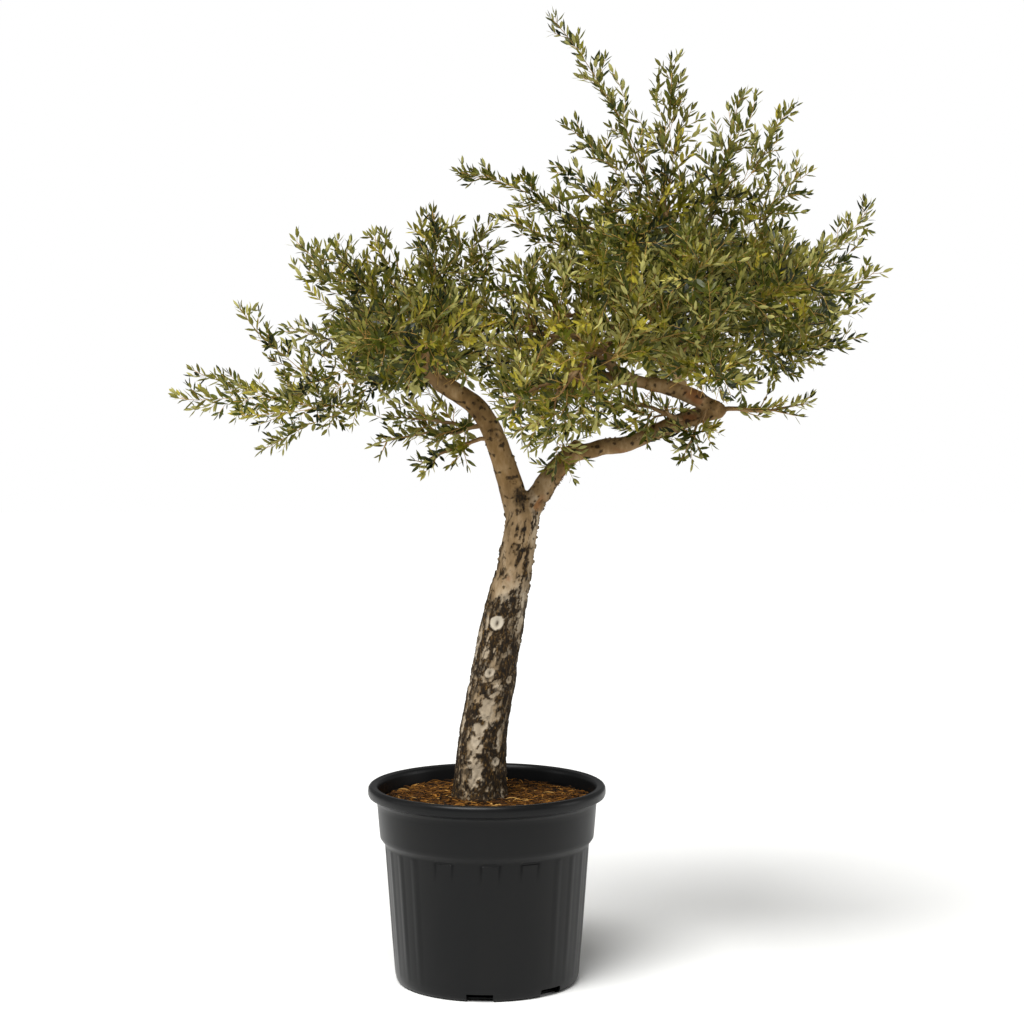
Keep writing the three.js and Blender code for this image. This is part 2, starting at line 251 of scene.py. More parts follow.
# ---- materials --------------------------------------------------------------------------------


class Shader:
    """A Principled material and a short way to add nodes to it."""

    def __init__(self, name, roughness, colour, specular):
        self.material = bpy.data.materials.new(name)
        self.material.use_nodes = True
        self.tree = self.material.node_tree
        self.surface = self.tree.nodes["Principled BSDF"]
        self.surface.inputs["Roughness"].default_value = roughness
        self.surface.inputs["Base Color"].default_value = srgb(colour)
        self.surface.inputs["Specular IOR Level"].default_value = specular

    def node(self, kind, links=(), **values):
        made = self.tree.nodes.new(kind)
        for key, value in values.items():
            if hasattr(made, key):
                setattr(made, key, value)
            else:
                made.inputs[key.replace("_", " ")].default_value = value
        for socket, source in links:
            self.tree.links.new(source, made.inputs[socket])
        return made

    def ramp(self, factor, stops):
        made = self.node("ShaderNodeValToRGB", [("Fac", factor)])
        elements = made.color_ramp.elements
        while len(elements) < len(stops):
            elements.new(0.5)
        for element, (position, colour) in zip(elements, stops):
            element.position = position
            element.color = srgb(colour) if isinstance(colour, str) else (colour,) * 3 + (1,)
        return made.outputs["Color"]

    def mix(self, factor, first, second):
        made = self.node("ShaderNodeMix", data_type="RGBA")
        for socket, value in ((made.inputs[0], factor), (made.inputs[6], first),
                              (made.inputs[7], second)):
            if isinstance(value, bpy.types.NodeSocket):
                self.tree.links.new(value, socket)
            elif isinstance(value, str):
                socket.default_value = srgb(value)
            else:
                socket.default_value = value
        return made.outputs[2]

    def noise(self, vector, scale, detail, rough=0.6):
        made = self.node("ShaderNodeTexNoise", [("Vector", vector)], Scale=scale, Detail=detail)
        made.inputs["Roughness"].default_value = rough
        return made.outputs["Fac"]

    def place(self, scale=(1, 1, 1)):
        coordinates = self.node("ShaderNodeTexCoord").outputs["Object"]
        mapping = self.node("ShaderNodeMapping", [("Vector", coordinates)])
        mapping.inputs["Scale"].default_value = scale
        return mapping.outputs["Vector"]

    def bump(self, height, strength, distance):
        made = self.node("ShaderNodeBump", [("Height", height)], Strength=strength)
        made.inputs["Distance"].default_value = distance
        self.tree.links.new(made.outputs["Normal"], self.surface.inputs["Normal"])

    def set(self, socket, source):
        self.tree.links.new(source, self.surface.inputs[socket])


def plain(name, colour, roughness, specular):
    return Shader(name, roughness, colour, specular).material


def pot_plastic():
    shader = Shader("pot_plastic", 0.34, "#0c0d0e", 0.19)
    grain = shader.noise(shader.place(), 420.0, 3.0)
    smear = shader.noise(shader.place((1, 1, 0.35)), 7.0, 4.0)
    shader.set("Base Color", shader.ramp(smear, [(0.30, "#0c0d0e"), (0.72, "#121212")]))
    shader.set("Roughness", shader.ramp(smear, [(0.25, 0.30), (0.75, 0.42)]))
    shader.bump(grain, 0.12, 0.0004)
    return shader.material


def bark():
    """Tan smooth bark under dark rough flake patches, with painted shade in the fork and the knots'
    hollows, all where the mesh's relief puts them.
    """
    shader = Shader("bark", 0.85, "#a48a68", 0.25)
    painted = shader.node("ShaderNodeAttribute", attribute_name="bark")
    split = shader.node("ShaderNodeSeparateColor", [("Color", painted.outputs["Color"])])
    dark_flakes_and_painted_shade, rust, tone = split.outputs
    place = shader.place((1, 1, 0.45))
    mottle = shader.noise(place, 26.0, 8.0, 0.65)
    fine = shader.noise(place, 170.0, 6.0, 0.7)
    smooth_bark = shader.ramp(mottle, [(0.28, "#5e4626"), (0.5, "#84673f"), (0.74, "#ac9068")])
    grey_bark = shader.ramp(mottle, [(0.28, "#63523c"), (0.5, "#96846a"), (0.74, "#c2b5a0")])
    base = shader.mix(tone, smooth_bark, grey_bark)
    base = shader.mix(rust, base, "#80461a")
    base = shader.mix(painted.outputs["Alpha"], base, "#c8beac")
    dark = shader.ramp(
        fine, [(0.30, "#0b0703"), (0.46, "#1a1105"), (0.58, "#38270d"), (0.68, "#7c5f32")])
    speck = shader.ramp(fine, [(0.28, 1.0), (0.34, 0.0)])
    base = shader.mix(speck, base, "#3a2a14")
    # The dark colour goes on the rough flake patches, and as painted shade into the fork and the knots'
    # hollows.
    shader.set("Base Color", shader.mix(dark_flakes_and_painted_shade, base, dark))
    shader.bump(fine, 0.45, 0.0012)
    return shader.material


def twig_bark(name, low, middle, high):
    shader = Shader(name, 0.8, middle, 0.25)
    tint = shader.noise(shader.place(), 9.0, 5.0)
    shader.set("Base Color", shader.ramp(tint, [(0.3, low), (0.5, middle), (0.7, high)]))
    return shader.material


def mulch_bed():
    shader = Shader("mulch_bed", 0.95, "#5a3414", 0.1)
    grain = shader.noise(shader.place(), 90.0, 8.0, 0.75)
    shader.set("Base Color", shader.ramp(grain, [(0.3, "#0c0702"), (0.5, "#2a1a08"), (0.7, "#533615")]))
    shader.bump(grain, 0.8, 0.004)
    return shader.material


# ---- trunk and limbs --------------------------------------------------------------------------

VOXEL = 0.0030            # mesh size of the wood
CROTCH = Vector((0.098, 0.0, 1.214))

# Cut-branch scars and ring knots: the limb, the height, the angle round it in degrees from the
# front (positive towards +X), the radius and how far the lip stands out.
KNOTS = (
    ("trunk", 0.914, -16, 0.019, 0.0045),
    ("trunk", 0.789, -12, 0.013, 0.0035),
    ("trunk", 0.771, 44, 0.010, 0.0025),
    ("trunk", 0.565, 36, 0.012, 0.0025),
    ("trunk", 1.022, 22, 0.009, 0.0015),
    ("trunk", 0.700, 160, 0.018, 0.0045),
    ("trunk", 0.980, -140, 0.015, 0.0040),
    ("left_limb", 1.385, 20, 0.013, 0.0045),
    ("left_limb", 1.268, 18, 0.006, 0.0010),
    ("right_limb_reach", 1.375, 30, 0.010, 0.0030),
)
# Smooth pale islands in the rough bark of the lower trunk: height, angle, half height, half width.
PALE_PATCHES = (
    (0.836, -33, 0.019, 0.009),
    (0.744, 6, 0.021, 0.015),
    (0.700, -2, 0.028, 0.018),
    (0.647, -11, 0.021, 0.016),
    (0.606, -16, 0.025, 0.018),
    (0.540, -14, 0.036, 0.019),
    (0.940, 58, 0.060, 0.016),
    (0.820, -72, 0.110, 0.009),
    (0.620, 42, 0.030, 0.007),
    (0.640, -66, 0.060, 0.006),
    (0.700, 110, 0.050, 0.018),
    (0.590, 165, 0.050, 0.022),
    (0.820, -120, 0.060, 0.018),
    (0.860, 150, 0.045, 0.014),
    (0.540, -130, 0.040, 0.020),
)
# Dark torn streaks: foot height, head height, angle at each, half width.
STREAKS = (
    (0.985, 1.200, 30, 48, 0.0080),
    (1.140, 1.200, -70, -40, 0.0050),
    (1.060, 1.160, -52, -46, 0.0050),
    (1.005, 1.075, -62, -26, 0.0050),
    (1.160, 1.225, -8, 0, 0.0065),
    (1.205, 1.285, 66, 74, 0.0110),
    (1.000, 1.150, 150, 172, 0.0080),
    (1.040, 1.190, -150, -120, 0.0080),
)


def wood_lines():
    """The centreline of each piece of wood, as {node: (path, radii)}."""
    low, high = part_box("trunk")
    foot = np.array(low + high) / 2
    foot[2] = low.z
    starts = {
        "trunk": foot,
        "left_limb": np.array(CROTCH),
        "right_limb_rise": np.array(CROTCH),
        "right_limb_reach": np.array(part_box("right_limb_rise")[1]),
        "right_limb_return": np.array(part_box("right_limb_reach")[1]),
    }
    return {name: centreline(name, starts[name]) for name in WOOD_NODES}


def extended(path, radii, back, forward):
    """A path made longer at its two ends along its own direction."""
    first = path[0] - unit(path[1] - path[0]) * back
    last = path[-1] + unit(path[-1] - path[-2]) * forward
    return np.vstack([first, path, last]), np.concatenate([radii[:1], radii, radii[-1:]])


def wood_union(lines):
    """The wood as one closed mesh, its pieces melted together by a voxel remesh."""
    parts = []
    # How far each runs on past its two ends, into the wood it grows from and into the foliage.
    reach = {
        "trunk": (0.0, 0.030),
        "left_limb": (0.0, 0.016),
        "right_limb_rise": (0.0, 0.015),
        "right_limb_reach": (0.03, 0.016),
        "right_limb_return": (0.02, 0.012),
    }
    for name, (path, radii) in lines.items():
        if name in ("left_limb", "right_limb_rise"):
            # The limb runs on down inside the trunk, so that the fork melts into it.
            trunk, widths = lines["trunk"]
            below = slice(-4, -1)
            path = np.vstack([trunk[below], path[1:]])
            radii = np.concatenate([np.minimum(0.9 * widths[below], 1.15 * radii[1]), radii[1:]])
        path, radii = extended(path, radii, *reach[name])
        radii[-1] *= 0.5
        if name == "right_limb_reach":
            radii[-2] *= 1.10
        if name == "trunk":
            radii[-3:] *= (0.97, 0.86, 0.7)
            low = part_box("trunk")[0].z
            path[0] = path[1] - unit(path[2] - path[1]) * (path[1][2] - low + 0.012)
            path[0][2] = low - 0.004
            radii[0] *= 1.10
        curve, widths = resample(path, radii, 0.012)
        parts.append(tube(curve, widths, 48))
    piece = add_object("trunk_and_limbs", mesh_from_arrays("wood", *joined(parts)), [])
    remesh = piece.modifiers.new("melt", "REMESH")
    remesh.mode = "VOXEL"
    remesh.voxel_size = VOXEL
    smooth = piece.modifiers.new("smooth", "SMOOTH")
    smooth.factor = 0.5
    smooth.iterations = 14
    apply_modifiers(piece)
    return piece


class WoodMap:
    """The centrelines of all the wood as close points, to find what part of it a place is on."""

    def __init__(self, lines):
        curves, widths, owners = [], [], []
        for name, (path, radii) in lines.items():
            curve, width = resample(*extended(path, radii, 0.03, 0.02), 0.004)
            curves.append(curve)
            widths.append(width)
            owners += [name] * len(curve)
        self.points = np.vstack(curves)
        self.radii = np.concatenate(widths)
        self.tangents = np.vstack([tangents_of(c) for c in curves])
        self.owners = np.array(owners)

    def locate(self, places):
        """For each place: the nearest point on a centreline, its radius, tangent and limb."""
        found = np.empty(len(places), dtype=int)
        for begin in range(0, len(places), 4000):
            chunk = places[begin:begin + 4000]
            gaps = np.linalg.norm(chunk[:, None, :] - self.points[None], axis=2) - self.radii
            found[begin:begin + 4000] = gaps.argmin(axis=1)
        return self.points[found], self.radii[found], self.tangents[found], self.owners[found]


def in_front(offset):
    """Angle of an offset from the wood's centre, in radians from the front towards +X."""
    return np.arctan2(offset[:, 0], -offset[:, 1])


def angle_gap(a, b):
    return np.abs((a - b + math.pi) % (2 * math.pi) - math.pi)


def field(places, scale, shift, octaves=1):
    """Smooth noise at each place, from about -1 to 1."""
    spots = places * scale + shift * np.array([7.0, 3.0, 11.0])
    if octaves == 1:
        return np.array([noise.noise(spot) for spot in spots])
    return np.array([noise.fractal(spot, 0.85, 2.1, octaves) for spot in spots])


def carve_bark(piece, lines):
    """Moves the wood's points into bark relief, and paints dark flake patches, painted shade, rust, tone
    and bareness on it.
    """
    mesh = piece.data
    count = len(mesh.vertices)
    places = np.empty(3 * count)
    normals = np.empty(3 * count)
    mesh.vertices.foreach_get("co", places)
    mesh.vertex_normals.foreach_get("vector", normals)
    places, normals = places.reshape(-1, 3), normals.reshape(-1, 3)
    middle, radius, tangent, owner = WoodMap(lines).locate(places)
    offset = places - middle
    angle = in_front(offset)
    height = places[:, 2]
    low_trunk = np.clip((1.000 - height + 0.05 * field(places, 16, 12)) / 0.05, 0, 1)
    mid_trunk = np.clip((1.235 - height) / 0.08, 0, 1)

    # Straightened coordinates, so that the bark's grain runs along each limb.
    along = np.einsum("ij,ij->i", places, tangent)
    grain = offset / np.maximum(radius, 1e-3)[:, None] * 0.055
    grain[:, 2] += along * 0.5
    torn = field(grain, 110, 1, 3)
    curls = np.clip((0.12 - np.abs(field(grain, 27, 4, 2))) / 0.05, 0, 1)
    veins = np.clip((0.05 - np.abs(field(grain, 55, 16, 2))) / 0.03, 0, 1)
    level = 0.62 * field(grain, 46, 0, 3) + 0.34 * field(grain, 92, 14, 2) + 0.45 * torn
    cover = -0.66 + 0.38 * mid_trunk + 0.61 * low_trunk
    dark_flakes_and_painted_shade = np.clip((level + cover) * 6 + 0.5, 0, 1)
    dark_flakes_and_painted_shade = np.maximum(dark_flakes_and_painted_shade, 0.8 * curls * low_trunk) * (1 - 0.45 * veins * low_trunk)
    rise = (0.0022 + 0.0022 * (1 - 2 * np.abs(field(grain, 60, 2))) + 0.0018 * torn) * dark_flakes_and_painted_shade
    rise += 0.0020 * field(places, 14, 0) + 0.0006 * field(places, 60, 5)
    on_trunk = owner == "trunk"
    tone = 0.05 + 0.40 * on_trunk * mid_trunk + 0.5 * low_trunk + 0.35 * field(places, 11, 3)
    tone += 0.45 * on_trunk * np.clip((angle - 0.45) / 0.5, 0, 1)
    rust = np.clip(field(places, 20, 6) * 3.0 - 1.55 + 0.45 * ~on_trunk, 0, 0.55) * (1 - low_trunk)
    dots = np.clip((field(places, 85, 9) - 0.36) * 9, 0, 1) * (1 - low_trunk)
    dark_flakes_and_painted_shade = np.maximum(dark_flakes_and_painted_shade, 0.9 * dots)

    bare = np.zeros(count)
    warp = 0.65 * field(places, 70, 7, 3)
    for top, degrees, half_height, half_width in PALE_PATCHES:
        around = angle_gap(angle, math.radians(degrees)) * radius
        reach = np.sqrt(((height - top) / half_height) ** 2 + (around / half_width) ** 2) + warp
        pale = np.clip((1.05 - reach) * 5, 0, 1) * on_trunk
        dark_flakes_and_painted_shade *= 1 - pale * (1 - curls)
        rise -= 0.0018 * pale
        tone = np.maximum(tone, 0.95 * pale)
        bare = np.maximum(bare, 0.25 * pale)
        rust *= 1 - pale
    for limb, top, degrees, size, lip in KNOTS:
        around = angle_gap(angle, math.radians(degrees)) * radius
        reach = np.sqrt((height - top) ** 2 + around**2) / size + 0.35 * warp
        mine = owner == limb
        face = np.clip((1.0 - reach) * 6, 0, 1) * mine
        ring = np.exp(-(((reach - 0.84) / 0.17) ** 2)) * mine
        slit = ((height - top) / (0.42 * size)) ** 2
        eye = np.exp(-slit - ((around / (0.22 * size)) ** 2)) * mine
        rim = np.exp(-(((reach - 1.15) / 0.12) ** 2)) * mine
        rise = rise * (1 - face) + 0.7 * lip * ring + 0.6 * lip * face - lip * eye - 0.0012 * rim
        # Painted shade: the sunken eye in each knot's middle and the shallow groove round its rim are
        # painted with the dark bark colour, the groove's dark broken into patches.
        dark = np.maximum(eye, rim * np.clip(0.55 + torn, 0, 0.8))
        dark_flakes_and_painted_shade = np.maximum(dark_flakes_and_painted_shade * (1 - face), dark)
        bare = np.maximum(bare, face * low_trunk * min(0.85, max(0.0, (size - 0.008) / 0.010)))
        rust *= 1 - face
    sway = 0.010 * field(places, 28, 5)
    ragged = 0.45 + 1.3 * np.abs(field(places, 70, 8, 2))
    for low, high, low_angle, high_angle, half_width in STREAKS:
        share = np.clip((height - low) / (high - low), 0, 1)
        middle_angle = np.radians(low_angle + share * (high_angle - low_angle))
        around = np.abs(angle_gap(angle, middle_angle) * radius + sway)
        ends = np.clip(np.minimum(height - low, high - height) / 0.02, 0, 1)
        crack = np.clip((half_width * ragged - around) / 0.003, 0, 1) * ends
        dark_flakes_and_painted_shade = np.maximum(dark_flakes_and_painted_shade, crack)
        rise -= 0.0022 * crack
    # Painted shade: a dark patch round the fork between the limbs, painted with the dark bark colour and
    # sunk a little, where the crevice lies in shade.
    fork_painted_shade = np.exp(-((np.linalg.norm(places - np.array(CROTCH) - [-0.01, -0.03, 0.016], axis=1)
                       / 0.022) ** 2))
    dark_flakes_and_painted_shade = np.maximum(dark_flakes_and_painted_shade, np.clip(fork_painted_shade * 3.0 * ragged - 0.30, 0, 1))
    rise -= 0.004 * fork_painted_shade

    places += normals * rise[:, None]
    mesh.vertices.foreach_set("co", places.ravel())
    colours = np.stack([dark_flakes_and_painted_shade, rust, np.clip(tone, 0, 1), bare], axis=1)
    layer = mesh.color_attributes.new("bark", "FLOAT_COLOR", "POINT")
    layer.data.foreach_set("color", colours.astype(np.float32).ravel())
    shade_smooth(mesh)
    mesh.update()


def build_wood():
    lines = wood_lines()
    piece = wood_union(lines)
    carve_bark(piece, lines)
    piece.data.materials.append(bark())
    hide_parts(*WOOD_NODES)
    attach(piece, "root")
    return lines


# ---- the growth of the head -------------------------------------------------------------------

LEAF_LENGTH = 0.034
LEAF_WIDTH = 0.29               # share of the length
LEAF_MIDRIB = 0.0005            # thickness of a leaf at its midrib
PAIR_GAP = 0.0145               # between pairs of leaves on a stem
SHOOT_GAP = 0.036               # between side shoots on a bough
SHOOT_LONGEST = 0.130
SHOOT_SHORTEST = 0.030
TIP_CLEARANCE = 0.022           # the end leaves reach this far past the end of a stem
STEM_STEP = 0.022
BRANCHING = 1.3                 # branches in a mass of one litre
BROAD_LITRES = 5.0
BARE_LIMBS = ("left_limb", "right_limb_return")     # no leaves hang in front of these
BARE_MARGIN = 0.006
SIGHT_MARGIN = 0.005            # beside an arched bough, and
SIGHT_DEPTH = 0.12              # outside it, where leaves would hide it
SMALL_LITRES = 0.9              # masses up to this size have a bough with no branches
LEADERS = 3                     # from the end of each cut-off limb
SHOOT_RADIUS = 0.0020
THICK_STEM = 0.0021             # stems with a thicker foot are boughs, the rest are twigs
MIDDLE_CUTS = 7                 # stretches of the line through the middle of a mass
SKIN_SPOTS = 160                # places drawn on a mass's surface
NEAREST_STEMS = 16              # that are tried for a shoot into a gap
GAP_REACH = (0.012, 0.20)       # how near and how far such a stem may be
GAP_SHARES = (0.35, 0.6, 0.8)   # of a block's full count, below which each round fills it

CELL = 0.020                    # of the grid that holds the head's outline
BLOCK = 2                       # cells on a side of the blocks in which leaves are counted
EDGE_BLOCK = 2                  # leaves in a block at the outline
FULL_BLOCK = 1.75               # leaves in a block under the outline
INNER_BLOCK = 0.7               # leaves in a block deep inside
EDGE_DEPTH = 2                  # cells from the outline that count as its edge
SKIN_DEPTH = 5                  # cells from the outline to where the inside begins
CROWDED = 1.5                   # times its full count, past which a block takes no more shoots


class Mass:
    """One packed mass of foliage: its surface, its ends and its size."""

    def __init__(self, name):
        self.points, self.faces = node_arrays(name)
        self.tree = BVHTree.FromPolygons(self.points.tolist(), self.faces.tolist())
        a, b, c = (self.points[self.faces[:, k]] for k in range(3))
        self.litres = abs(np.einsum("ij,ij->i", a, np.cross(b, c)).sum()) / 6 * 1000
        self.middle = (self.points.min(axis=0) + self.points.max(axis=0)) / 2
        axis = long_axis(self.points)
        along = self.points @ axis
        self.ends = [self.points[along.argmin()], self.points[along.argmax()]]
        areas = np.linalg.norm(np.cross(b - a, c - a), axis=1)
        draw = np.random.default_rng(len(self.points))
        picks = draw.choice(len(self.faces), SKIN_SPOTS, p=areas / areas.sum())
        share = draw.random((SKIN_SPOTS, 2))
        flip = share.sum(axis=1) > 1
        share[flip] = 1 - share[flip]
        self.skin = a[picks] + share[:, :1] * (b - a)[picks] + share[:, 1:] * (c - a)[picks]

    def crossings(self, x, z):
        """Where a line along +Y at this x and z goes in and out of the mass."""
        start = Vector((x, self.points[:, 1].min() - CELL, z))
        found = []
        while True:
            hit = self.tree.ray_cast(start, Vector((0, 1, 0)))[0]
            if hit is None:
                return list(zip(found[::2], found[1::2]))
            found.append(hit.y)
            start = Vector((x, hit.y + 1e-5, z))


def neighbours_all(cells):
    """Cells whose six neighbours are all set too."""
    kept = cells.copy()
    for axis in range(3):
        for shift in (-1, 1):
            kept &= np.roll(cells, shift, axis)
    return kept


def clamped(index, shape):
    """A grid index, moved to the nearest one inside the grid."""
    return tuple(min(max(i, 0), n - 1) for i, n in zip(index, shape))


class Space:
    """The head's outline as a grid of cells, and how many leaves each block of them holds."""

    def __init__(self, masses):
        corners = np.vstack([m.points for m in masses])
        self.low = corners.min(axis=0) - 4 * CELL
        size = np.ceil((corners.max(axis=0) + 4 * CELL - self.low) / CELL).astype(int)
        size += -size % BLOCK
        inside = np.zeros(size, dtype=bool)
        for mass in masses:
            first = ((mass.points.min(axis=0) - self.low) / CELL).astype(int)
            last = ((mass.points.max(axis=0) - self.low) / CELL).astype(int)
            for i in range(first[0], last[0] + 1):
                for k in range(first[2], last[2] + 1):
                    x, _, z = self.low + (np.array([i, 0, k]) + 0.5) * CELL
                    for enter, leave in mass.crossings(x, z):
                        ends = ((np.array([enter, leave]) - self.low[1]) / CELL).astype(int)
                        inside[i, ends[0]:ends[1] + 1, k] = True
        self.depth = inside.astype(int)
        layer = inside
        for _ in range(SKIN_DEPTH):
            layer = neighbours_all(layer)
            self.depth += layer
        self.near = ~neighbours_all(~inside)
        self.leaves = np.zeros(size // BLOCK, dtype=int)

    def cell(self, place):
        return tuple(((place - self.low) / CELL).astype(int))

    def is_near(self, place):
        cell = self.cell(place)
        return clamped(cell, self.near.shape) == cell and self.near[cell]

    def room(self, start, direction, longest):
        """How far a stem can go before it leaves the head's outline."""
        step, gone = CELL / 2, 0.0
        while gone < longest and self.is_near(start + direction * (gone + step)):
            gone += step
        return gone

    def block(self, place):
        return clamped([i // BLOCK for i in self.cell(place)], self.leaves.shape)

    def wanted(self, place):
        depth = self.depth[clamped(self.cell(place), self.depth.shape)]
        if depth <= EDGE_DEPTH:
            return EDGE_BLOCK
        return FULL_BLOCK if depth <= SKIN_DEPTH else INNER_BLOCK

    def is_crowded(self, place):
        return self.leaves[self.block(place)] >= CROWDED * self.wanted(place)


class Head:
    """Everything that grows from the limbs: stems with their leaves."""

    def __init__(self, lines, space):
        self.space = space
        self.stems = []          # (path, radii)
        self.leaves = []         # (base, direction, normal, length, spray)
        self.sprays = []         # the place of each spray, for its colour
        self.shown = []          # (point, radius, side) along the arched boughs that show
        points, radii, ways = [], [], []
        for name, (path, widths) in lines.items():
            if name == "trunk":
                continue
            curve, width = resample(path, widths, 0.02)
            first = 0 if name in ("right_limb_reach", "right_limb_return") else len(curve) // 3
            points.append(curve[first:])
            radii.append(width[first:])
            ways.append(tangents_of(curve)[first:])
        self.points, self.ways = np.vstack(points), np.vstack(ways)
        self.radii = np.concatenate(radii)
        bare = [resample(*lines[name], 0.01) for name in BARE_LIMBS]
        self.bare = np.vstack([curve for curve, _ in bare])
        self.bare_reach = np.concatenate([width for _, width in bare]) + BARE_MARGIN

    def hides_limb(self, place):
        """Whether a leaf here would hang in front of a limb that the head leaves bare."""
        aside = np.hypot(place[0] - self.bare[:, 0], place[2] - self.bare[:, 2])
        return bool(np.any((aside < self.bare_reach) & (place[1] < self.bare[:, 1] + 0.03)))

    def add_stem(self, path, radii):
        self.stems.append((path, radii))
        self.points = np.vstack([self.points, path])
        self.radii = np.concatenate([self.radii, radii])
        self.ways = np.vstack([self.ways, tangents_of(path)])

    def foothold(self, root, heading):
        """The place on the grown wood from which a bough best leaves for root."""
        gap = root - self.points
        distance = np.linalg.norm(gap, axis=1)
        way = gap / np.maximum(distance, 1e-6)[:, None]
        turn = 1 - way @ heading
        bend = 1 - np.einsum("ij,ij->i", way, self.ways)
        cost = (distance + 0.02) * (1 + 0.9 * turn + 0.35 * bend) - 0.8 * np.minimum(self.radii, 0.02)
        return int(cost.argmin())


def curve_between(start, way, end, bend):
    """A gentle curve from start, leaving along way, to end."""
    span = np.linalg.norm(end - start)
    control = start + unit(way) * span * bend
    t = np.linspace(0, 1, max(3, int(span / STEM_STEP) + 1))[:, None]
    return (1 - t) ** 2 * start + 2 * t * (1 - t) * control + t**2 * end


def tapered(thick, thin, count):
    return thin + (thick - thin) * (1 - np.linspace(0, 1, count)) ** 0.8


def steps_along(path, begin, gap, jitter):
    """Places and directions along a path, at about even gaps from a share of its length."""
    lengths = np.concatenate([[0], np.cumsum(np.linalg.norm(np.diff(path, axis=0), axis=1))])
    ways = tangents_of(path)
    stop = begin * lengths[-1] + RNG.uniform(0, gap)
    while stop < lengths[-1]:
        place = np.array([np.interp(stop, lengths, path[:, c]) for c in range(3)])
        way = unit(np.array([np.interp(stop, lengths, ways[:, c]) for c in range(3)]))
        yield place, way, lengths[-1] - stop
        stop += gap * RNG.uniform(1 - jitter, 1 + jitter)


def sideways(way, turn):
    """A direction square to a stem, at an angle round it."""
    guide = UP if abs(way[2]) < 0.9 else np.array([1.0, 0.0, 0.0])
    return turned(perpendicular(way, guide), way, turn)


def place_leaf(head, place, way, turn, scale, spread, spray):
    """One leaf at an angle round its stem, leaning forward and lifting a little to the light."""
    outward = sideways(way, turn)
    direction = unit(way * math.cos(spread) + outward * math.sin(spread) + UP * 0.22)
    upper = unit(way * math.sin(spread) - outward * math.cos(spread) + UP * 0.55)
    normal = turned(perpendicular(direction, upper), direction, RNG.uniform(-0.6, 0.6))
    if head.hides_limb(place + direction * LEAF_LENGTH * scale * 0.6):
        return
    head.leaves.append((place, direction, normal, LEAF_LENGTH * scale, spray))
    head.space.leaves[head.space.block(place + direction * LEAF_LENGTH / 2)] += 1


def leaf_pairs(head, path, begin, size=1.0):
    """Opposite pairs of leaves along a stem from a share of its length, and more at its tip."""
    head.sprays.append(path[-1])
    spray = len(head.sprays) - 1
    turn = RNG.uniform(0, math.tau)
    for place, way, left in steps_along(path, begin, PAIR_GAP, 0.2):
        scale = size * (0.74 + 0.26 * min(1.0, left / 0.03)) * RNG.uniform(0.8, 1.15)
        turn += math.pi / 2 + RNG.uniform(-0.35, 0.35)
        for half in (0, math.pi):
            if RNG.random() > 0.08:
                place_leaf(head, place, way, turn + half, scale, RNG.uniform(0.5, 1.0), spray)
    tip_way = tangents_of(path)[-1]
    for half in (0, math.pi):
        place_leaf(head, path[-1], tip_way, turn + 1.2 + half, size * RNG.uniform(0.6, 0.9),
                   RNG.uniform(0.15, 0.4), spray)


def grow_shoot(head, place, way, turn, longest, radius):
    """A side shoot that leaves its stem at an angle, turns up a little and bears leaves."""
    lean = RNG.uniform(0.60, 0.95)
    direction = unit(way * math.cos(lean) + sideways(way, turn) * math.sin(lean) + UP * 0.14)
    room = head.space.room(place, direction, longest)
    length = min(room * RNG.uniform(0.85, 1.05), longest * RNG.uniform(0.6, 1.0))
    middle = place + direction * 0.6 * length
    if head.space.is_crowded(middle) or head.hides_limb(middle):
        return
    length = max(length, SHOOT_SHORTEST * RNG.uniform(0.7, 1.3))
    end = place + unit(direction + UP * RNG.uniform(0.0, 0.3)) * length
    path = curve_between(place, direction, end, 0.5)
    head.add_stem(path, tapered(radius, 0.0009, len(path)))
    leaf_pairs(head, path, 0.12)


def dress(head, path, radii, bare):
    """Side shoots and leaves along a bough, past the share of it that stays bare."""
    turn = RNG.uniform(0, math.tau)
    for place, way, left in steps_along(path, bare, SHOOT_GAP, 0.25):
        turn += GOLDEN_ANGLE + RNG.uniform(-0.3, 0.3)
        longest = min(SHOOT_LONGEST, 0.035 + 0.6 * left)
        grow_shoot(head, place, way, turn, longest, min(SHOOT_RADIUS, 0.75 * radii[0]))
    leaf_pairs(head, path, max(bare, 0.45), 1.05)


def middle_line(mass, root, tip):
    """Points along the middle of a mass from its root to its tip."""
    axis = unit(tip - root)
    span = float(np.dot(tip - root, axis))
    line = [root]
    for k in range(1, MIDDLE_CUTS):
        place = root + axis * span * k / MIDDLE_CUTS
        found = section(mass.points, mass.faces, place, axis)
        if found:
            line.append(found[0])
    line.append(tip)
    return np.array(line)


def spread_targets(mass, count, avoid):
    """Places on a mass's surface, far from each other and from the places to avoid."""
    chosen = list(avoid)
    for _ in range(count):
        gaps = np.min([np.linalg.norm(mass.skin - c, axis=1) for c in chosen], axis=0)
        chosen.append(mass.skin[int(gaps.argmax())])
    return chosen[len(avoid):]


